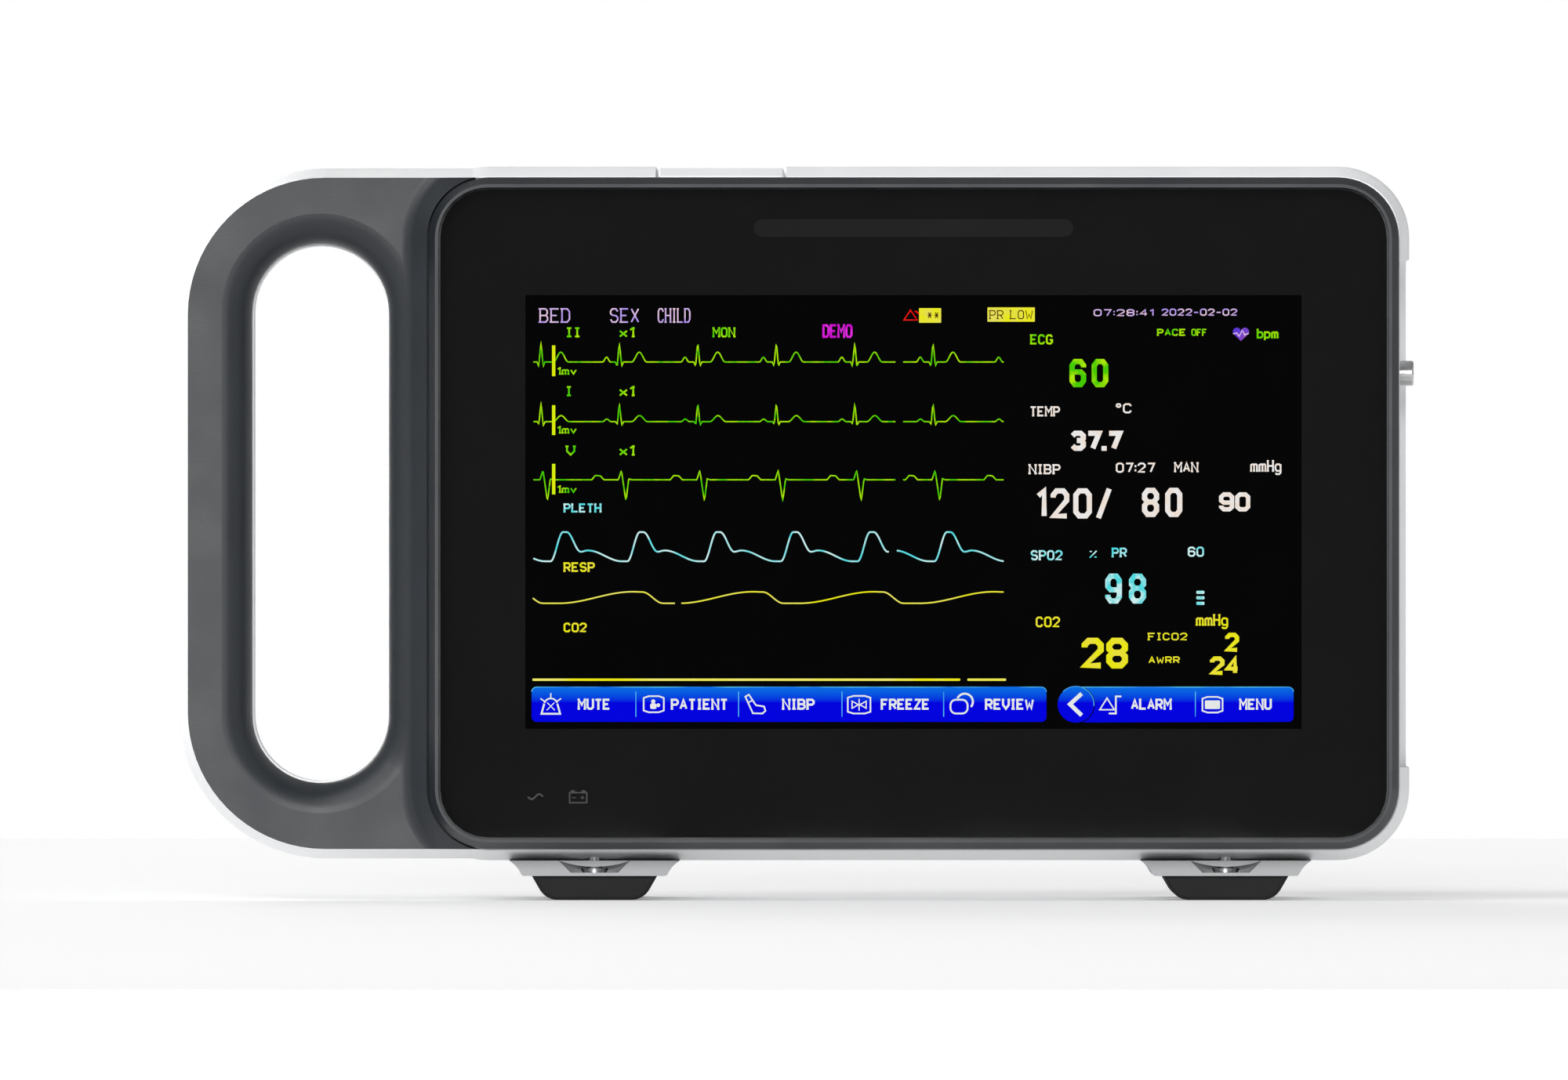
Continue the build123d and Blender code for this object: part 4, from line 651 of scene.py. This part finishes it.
def yellow_marks():
    """Breathing and carbon dioxide, and the alarm boxes."""
    traces = on_screen("screen_breath_traces", lit("lit_yellow", YELLOW, PALE_YELLOW, 7.0))
    labels = on_screen("screen_breath_text", lit("lit_yellow_text", YELLOW, WARM_YELLOW, 3.0))
    boxes = on_screen("screen_alarm_boxes", lit("lit_yellow_box", BOX_YELLOW, BOX_PALE, 3.0))
    breaths = beats(BREATH_START, BREATH)
    trace(traces, breath, breaths, 61.25, 1.5, 95.0, gap=(29.7, 31.0), width=0.27)
    for left, right in ((1.4, 86.4), (87.8, 95.5)):
        traces.shape(round_box(left, 76.2, right, 76.66, 0.2))
    labels.word("RESP", 7.6, 53.1, 13.8, 55.0)
    labels.word("CO2", 7.6, 65.1, 12.2, 67.0)
    labels.word("CO2", 101.4, 63.9, 106.2, 66.0)
    labels.word("mmHg", 133.2, 63.4, 139.6, 65.7)
    labels.word("2", 110.5, 68.1, 114.9, 74.2, width=HEAVY_STROKE, slab=False)
    labels.word("8", 115.4, 68.1, 119.7, 74.2, width=HEAVY_STROKE, slab=False)
    labels.word("FICO2", 123.7, 67.1, 131.5, 68.6, width=0.26)
    labels.word("2", 139.0, 67.1, 141.8, 70.9, width=0.85, slab=False)
    labels.word("AWRR", 123.8, 71.8, 130.0, 73.2, width=0.26, slab=False)
    labels.word("24", 136.0, 71.8, 141.9, 75.5, width=0.85, slab=False)
    boxes.shape(round_box(78.2, 2.6, 82.6, 5.5, 0.1))
    boxes.shape(round_box(91.8, 2.45, 101.2, 5.3, 0.1))
    return [traces, labels, boxes]


def white_marks():
    """Temperature and blood pressure."""
    labels = on_screen("screen_pressure_text", lit("lit_warm_white", WARM_WHITE, WHITE, 2.0))
    labels.word("TEMP", 100.2, 22.1, 106.2, 24.1)
    labels.word("°C", 117.3, 21.5, 120.5, 23.5)
    labels.word("37.7", 108.2, 26.95, 118.6, 30.95, width=LARGE_STROKE, slab=False)
    labels.word("NIBP", 100.0, 33.6, 106.3, 35.6)
    labels.word("07:27", 117.3, 33.3, 125.1, 35.3)
    labels.word("MAN", 128.9, 33.2, 133.7, 35.2)
    labels.word("mmHg", 144.0, 32.8, 150.2, 35.1)
    labels.word("120/", 101.4, 38.4, 116.5, 44.4, width=LARGE_STROKE, slab=False, gap=WIDE_GAP)
    labels.word("8", 122.5, 38.3, 125.9, 44.1, width=LARGE_STROKE, slab=False)
    labels.word("0", 127.1, 38.3, 130.5, 44.1, width=LARGE_STROKE, slab=False)
    labels.word("90", 137.8, 39.2, 144.0, 43.0, width=0.85, slab=False)
    return [labels]


def status_marks():
    """The top row: who is watched, the time, and the alarm and pulse signs."""
    lilac = lit("lit_lavender", LAVENDER, PALE_LAVENDER, 2.0)
    status = on_screen("screen_status_text", lilac)
    status.word("BED", 2.8, 2.6, 8.9, 5.5, width=0.28)
    status.word("SEX", 16.8, 2.6, 22.6, 5.5, width=0.28)
    status.word("CHILD", 26.3, 2.6, 32.8, 5.5, width=0.26)
    status.word("07:28:41", 112.9, 2.8, 124.8, 4.2, width=0.24, slab=False)
    status.word("2022-02-02", 126.4, 2.7, 141.4, 4.1, width=0.24, slab=False)
    demo = on_screen("screen_demo_text", lit("lit_magenta", MAGENTA, PINK, 1.5))
    demo.word("DEMO", 59.0, 5.8, 65.0, 8.5, width=0.42)
    warning = on_screen("screen_alarm_sign", lit("lit_red", RED, DEEP_RED, 2.0))
    warning.line([(75.2, 4.95), (76.5, 3.0), (77.85, 4.95)], 0.26, closed=True)
    warning.line(arc(77.0, 4.6, 1.45, 285, 330, 5), 0.3)
    dark = on_screen("screen_alarm_text", lit("lit_dark", DARK_MARK, DARK_MARK_EDGE), layer=1)
    dark.word("**", 79.8, 2.9, 82.2, 5.1, width=0.2, slab=False)
    dark.word("PR LOW", 92.2, 3.0, 100.8, 4.8, width=0.2)
    heart = on_screen("screen_heart_sign", lit("lit_heart", HEART, HEART_BLUE, 2.5))
    heart.shape(heart_outline(142.15, 7.6, 1.6))
    pulse = on_screen("screen_heart_pulse", lilac, layer=1)
    beat = [(140.6, 7.7), (141.3, 7.5), (141.8, 8.2), (142.4, 7.0), (142.9, 7.9), (143.7, 7.6)]
    pulse.line(beat, 0.22)
    return [status, demo, warning, dark, heart, pulse]


def heart_outline(cx, cy, half):
    """A heart: two round lobes and a point."""
    lobe = half / 2
    left = arc(cx - lobe, cy - lobe * 0.4, lobe, 150, 350, 10)
    right = arc(cx + lobe, cy - lobe * 0.4, lobe, 190, 390, 10)
    return left + right + [(cx, cy + half * 0.95)]


# ---------------------------------------------------------------- the row of screen keys
KEYS_TOP, KEYS_BOTTOM = 77.9, 84.8
KEYS_LEFT, KEYS_RIGHT = 1.25, 103.5
MENU_LEFT, MENU_RIGHT = 110.5, 152.6
BACK_X, BACK_R = 109.35, 3.6
KEY_MIDDLE = (KEYS_TOP + KEYS_BOTTOM) / 2
DIVIDERS = (21.95, 42.35, 62.9, 83.1, 133.1)


def key_fields():
    """The blue keys, their bright upper edge and the lines between them."""
    glow = key_glow("lit_blue", LIT_TOP - KEYS_TOP * MM, LIT_TOP - KEYS_BOTTOM * MM)
    keys = on_screen("screen_keys", glow)
    edges = on_screen("screen_key_edges", lit("lit_key_edge", KEY_EDGE, KEY_EDGE_DIM, 9.0), layer=1)
    keys.shape(round_box(KEYS_LEFT, KEYS_TOP, KEYS_RIGHT, KEYS_BOTTOM, 1.0))
    left_corner = arc(KEYS_LEFT + 1, KEYS_TOP + 1, 1, 185, 270, 5)
    edges.line(left_corner + arc(KEYS_RIGHT - 1, KEYS_TOP + 1, 1, 270, 355, 5), 0.16)
    inner = arc(BACK_X, KEY_MIDDLE, BACK_R + 0.2, 290, 430, 16)
    keys.shape(
        [(MENU_LEFT + 0.2, KEYS_TOP)] + arc(MENU_RIGHT - 1, KEYS_TOP + 1, 1, 270, 360, 6)
        + arc(MENU_RIGHT - 1, KEYS_BOTTOM - 1, 1, 0, 90, 6) + list(reversed(inner))
    )
    keys.shape(arc(BACK_X, KEY_MIDDLE, BACK_R, 0, 354, 40))
    edges.line([(MENU_LEFT, KEYS_TOP)] + arc(MENU_RIGHT - 1, KEYS_TOP + 1, 1, 270, 355, 5), 0.16)
    edges.line(arc(BACK_X, KEY_MIDDLE, BACK_R, 225, 365, 18), 0.14)
    for x in DIVIDERS:
        edges.line([(x, KEYS_TOP + 0.9), (x, KEYS_BOTTOM - 1.0)], 0.16)
    return [keys, edges]


def key_marks():
    """The keys' signs and words."""
    marks = on_screen("screen_key_signs", lit("lit_key_sign", KEY_WHITE, WHITE, 1.5), layer=1)
    marks.line([(110.5, 79.2), (108.2, 81.3), (110.5, 83.5)], 0.8)
    bell_sign(marks, 5.05, 81.6)
    patient_sign(marks, 25.5, 81.3)
    cuff_sign(marks, 45.6, 81.4)
    freeze_sign(marks, 66.3, 81.4)
    pages_sign(marks, 86.6, 81.3)
    alarm_sign(marks, 116.1, 81.3)
    menu_sign(marks, 136.5, 81.4)
    words = (("MUTE", 10.4), ("PATIENT", 28.9), ("NIBP", 51.0), ("FREEZE", 70.6), ("REVIEW", 91.3),
             ("ALARM", 120.3), ("MENU", 141.8))
    for word, left in words:
        marks.word(word, left, 80.2, left + 1.62 * len(word), 82.4, width=0.42)
    return [marks]


def bell_sign(marks, cx, cy):
    """A bell, crossed out, with rays over it."""
    marks.line(arc(cx, cy - 0.1, 1.35, 200, 340, 12), 0.3)
    skirt = [(-1.3, -0.4), (-1.85, 1.6), (1.85, 1.6), (1.3, -0.4)]
    marks.line(moved(skirt, cx, cy), 0.36)
    marks.line([(cx - 0.7, cy - 0.6), (cx + 0.8, cy + 0.9)], 0.18)
    marks.line([(cx + 0.7, cy - 0.6), (cx - 0.8, cy + 0.9)], 0.18)
    for turn in (215, 270, 325):
        ray = [arc(cx, cy, reach, turn, turn, 1)[0] for reach in (1.5, 2.5)]
        marks.line(ray, 0.25)


def screen_frame(marks, cx, cy, half_w, half_h):
    """A frame with bowed top and bottom edges."""
    bow = 0.35
    side = half_h - bow
    top = [(-half_w, -side), (-half_w / 2, -half_h), (half_w / 2, -half_h), (half_w, -side)]
    low = [(x, -y) for x, y in reversed(top)]
    marks.line(moved(top + low, cx, cy), 0.3, closed=True)


def patient_sign(marks, cx, cy):
    """A head and shoulders in a frame."""
    screen_frame(marks, cx, cy, 2.0, 1.6)
    marks.shape(arc(cx - 0.1, cy - 0.55, 0.42, 0, 350, 14))
    marks.shape(round_box(cx - 0.7, cy - 0.15, cx + 0.55, cy + 0.95, 0.35))
    marks.shape(arc(cx + 0.9, cy + 0.2, 0.38, 0, 350, 12))


def cuff_sign(marks, cx, cy):
    """A bent arm with a cuff."""
    arm = [(-1.9, -1.6), (-1.2, -2.0), (0.2, 0.1), (1.8, 0.35), (2.1, 1.2), (1.5, 1.75), (-0.4, 1.7)]
    marks.line(moved(arm, cx, cy), 0.3, closed=True)
    marks.line([(cx - 1.2, cy - 0.5), (cx - 0.4, cy - 0.9)], 0.25)


def freeze_sign(marks, cx, cy):
    """Two triangles that meet at a line, in a frame."""
    screen_frame(marks, cx, cy, 2.25, 1.75)
    marks.line([(cx, cy - 1.15), (cx, cy + 1.15)], 0.22)
    for side in (-1, 1):
        wedge = [(side * 0.15, 0.0), (side * 1.4, -0.7), (side * 1.4, 0.7)]
        marks.line(moved(wedge, cx, cy), 0.25, closed=True)


def pages_sign(marks, cx, cy):
    """Two round sheets, one behind the other."""
    marks.line(round_box(cx - 2.15, cy - 0.9, cx + 1.25, cy + 1.85, 1.1), 0.34, closed=True)
    marks.line(arc(cx + 0.7, cy - 0.5, 1.6, 205, 400, 14), 0.4)


def alarm_sign(marks, cx, cy):
    """A triangle with a step beside it."""
    triangle = [(-2.0, 1.1), (-0.55, -1.2), (0.9, 1.1)]
    step = [(2.3, -1.55), (1.2, -1.55), (1.2, 1.85), (-0.2, 1.85)]
    marks.line(moved(triangle, cx, cy), 0.28, closed=True)
    marks.line(moved(step, cx, cy), 0.34)


def menu_sign(marks, cx, cy):
    """A lit panel in a frame."""
    screen_frame(marks, cx, cy, 2.0, 1.55)
    marks.shape(round_box(cx - 1.5, cy - 0.85, cx + 1.5, cy + 0.85, 0.2))


# ---------------------------------------------------------------- print behind the glass
def printed(name, shade):
    """Ink on the back of the glass, which has no gloss of its own."""
    base = (shade, shade, shade * 1.03)
    return moulded(name, base, 0.7, grain=0.6, depth=0.001, mottle=0.06, specular=0.0)


def border_print():
    """The dark border printed behind the glass, open over the screen and the lights."""
    width = (GLASS_HIGH.x - GLASS_LOW.x) / MM
    height = (GLASS_HIGH.z - GLASS_LOW.z) / MM
    left = (GLASS_LOW.x - LIT_LEFT) / MM
    top = (LIT_TOP - GLASS_HIGH.z) / MM
    inset, corner = 0.25, 9.4
    border = behind_glass("glass_border_print", printed("border_ink", 0.0062))
    outline = round_box(left + inset, top + inset, left + width - inset, top + height - inset, corner)
    bar = bar_outline()
    border.shape(outline, round_box(0, 0, LIT_W, LIT_H, 0.25), bar)
    window = behind_glass("alarm_light_window", printed("light_window", 0.012))
    window.shape(bar)
    signs = behind_glass("glass_signs", printed("dim_sign", 0.06), layer=1)
    mains_sign(signs)
    battery_sign(signs)
    return [border, window, signs]


def bar_outline():
    """The long window over the alarm light."""
    low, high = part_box("alarm_light_guide")
    left, right = (low.x - LIT_LEFT) / MM, (high.x - LIT_LEFT) / MM
    top, bottom = (LIT_TOP - high.z) / MM, (LIT_TOP - low.z) / MM
    return round_box(left, top, right, bottom, (bottom - top) / 2 - 0.01)


def mains_sign(signs):
    """A wave that stands for mains power, over its light."""
    low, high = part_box("indicator_light_pipes")
    cx, cy = (low.x + 1.5 * MM - LIT_LEFT) / MM, (LIT_TOP - (low.z + high.z) / 2) / MM
    parts = [i / 12 - 1 for i in range(25)]
    wave = [(1.5 * part, -0.5 * math.sin(math.pi * part)) for part in parts]
    signs.line(moved(wave, cx, cy), 0.32)


def battery_sign(signs):
    """A battery seen from its side, over its light."""
    low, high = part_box("indicator_light_pipes")
    cx, cy = (high.x - 1.5 * MM - LIT_LEFT) / MM, (LIT_TOP - (low.z + high.z) / 2) / MM
    signs.line(box(cx - 1.7, cy - 0.8, cx + 1.7, cy + 1.2), 0.26, closed=True)
    for side in (-1, 1):
        signs.shape(box(cx + side * 1.05 - 0.35, cy - 1.3, cx + side * 1.05 + 0.35, cy - 0.93))
    signs.line([(cx - 1.2, cy + 0.2), (cx - 0.5, cy + 0.2)], 0.2)
    signs.line([(cx + 0.5, cy + 0.2), (cx + 1.2, cy + 0.2)], 0.2)
    signs.line([(cx + 0.85, cy - 0.15), (cx + 0.85, cy + 0.1)], 0.18)
    signs.line([(cx + 0.85, cy + 0.3), (cx + 0.85, cy + 0.55)], 0.18)


def build_front():
    """Makes every printed and lit piece."""
    drawings = (
        green_marks() + cyan_marks() + yellow_marks() + white_marks() + status_marks()
        + key_fields() + key_marks() + border_print()
    )
    for drawing in drawings:
        drawing.build()


# ---------------------------------------------------------------- stage, light and camera
FLOOR_R, FLOOR_SIDES, FLOOR_GLOW = 1.5, 96, 0.18
ROOM_LIGHT = 0.35
VIEW_W = 0.3114
LENS, SENSOR = 850.0, 36.0
VIEW_MIDDLE = Vector((-0.00257, GLASS_LOW.y, 0.0717))


def build_floor():
    """A plain pale floor, which reaches far past the view."""
    material, tree, shader = new_material("floor", (0.9, 0.9, 0.9), 0.7)
    shader.inputs["Emission Color"].default_value = (1.0, 1.0, 1.0, 1.0)
    shader.inputs["Emission Strength"].default_value = FLOOR_GLOW
    pale = ramp(tree, spots(tree, 300.0), (0.89, 0.89, 0.89, 1.0), (0.91, 0.91, 0.91, 1.0))
    tree.links.new(pale, shader.inputs["Base Color"])
    rim = [(x, y, 0.0) for x, y in arc(0, 0, FLOOR_R, 0, 360, FLOOR_SIDES)[:-1]]
    mesh = bpy.data.meshes.new("floor")
    mesh.from_pydata(rim, [], [list(range(FLOOR_SIDES))])
    mesh.materials.append(material)
    floor = bpy.data.objects.new("floor", mesh)
    bpy.context.collection.objects.link(floor)


def build_world():
    """A room that looks white from every side, and lights less from the user's side.

    The glass mirrors the user's side, which has to be dim for the screen to stay black.
    """
    world = bpy.data.worlds.new("room")
    world.use_nodes = True
    tree = world.node_tree
    light = tree.nodes["Background"]
    light.inputs["Color"].default_value = (1.0, 1.0, 1.0, 1.0)
    backdrop = add(tree, "Background", Color=(1.0, 1.0, 1.0, 1.0), Strength=1.0)
    place = add(tree, "TexCoord")
    axes = add(tree, "SeparateXYZ")
    share = add(tree, "MapRange", From_Min=-0.95, From_Max=0.3, To_Min=0.04, To_Max=ROOM_LIGHT)
    path = add(tree, "LightPath")
    mix = add(tree, "MixShader")
    links = tree.links
    links.new(place.outputs["Generated"], axes.inputs[0])
    links.new(axes.outputs["Y"], share.inputs["Value"])
    links.new(share.outputs["Result"], light.inputs["Strength"])
    links.new(path.outputs["Is Camera Ray"], mix.inputs["Fac"])
    links.new(light.outputs[0], mix.inputs[1])
    links.new(backdrop.outputs[0], mix.inputs[2])
    links.new(mix.outputs[0], tree.nodes["World Output"].inputs["Surface"])
    bpy.context.scene.world = world


def add_sun(name, strength, spread_angle, direction):
    """A broad even light that falls along a direction."""
    lamp = bpy.data.lights.new(name, "SUN")
    lamp.energy = strength
    lamp.angle = math.radians(spread_angle)
    sun = bpy.data.objects.new(name, lamp)
    sun.rotation_mode = "QUATERNION"
    sun.rotation_quaternion = Vector(direction).to_track_quat("-Z", "Y")
    bpy.context.collection.objects.link(sun)


def build_lights():
    """A soft key low in front, a broad light from high on the left, and fills round the object."""
    add_sun("key_light", 1.7, 14.0, (0.06, 0.97, -0.2))
    add_sun("high_left", 1.6, 45.0, (0.42, 0.66, -0.62))
    add_sun("right_side", 0.45, 60.0, (-0.9, 0.3, -0.3))
    add_sun("left_side", 0.4, 60.0, (0.9, 0.3, -0.3))
    add_sun("behind", 0.85, 30.0, (0.3, -0.92, -0.22))


def build_camera():
    """The camera, level and square to the glass."""
    data = bpy.data.cameras.new("camera")
    data.sensor_width = SENSOR
    data.lens = LENS
    distance = VIEW_W * LENS / SENSOR
    data.clip_start, data.clip_end = 0.1, distance + 2 * FLOOR_R
    camera = bpy.data.objects.new("camera", data)
    camera.location = VIEW_MIDDLE - Vector((0.0, distance, 0.0))
    camera.rotation_euler = (math.pi / 2, 0.0, 0.0)
    bpy.context.collection.objects.link(camera)
    bpy.context.scene.camera = camera
    bpy.context.scene.view_settings.view_transform = "Standard"


dress_nodes()
shorten_spring()
build_front()
build_floor()
build_world()
build_lights()
build_camera()
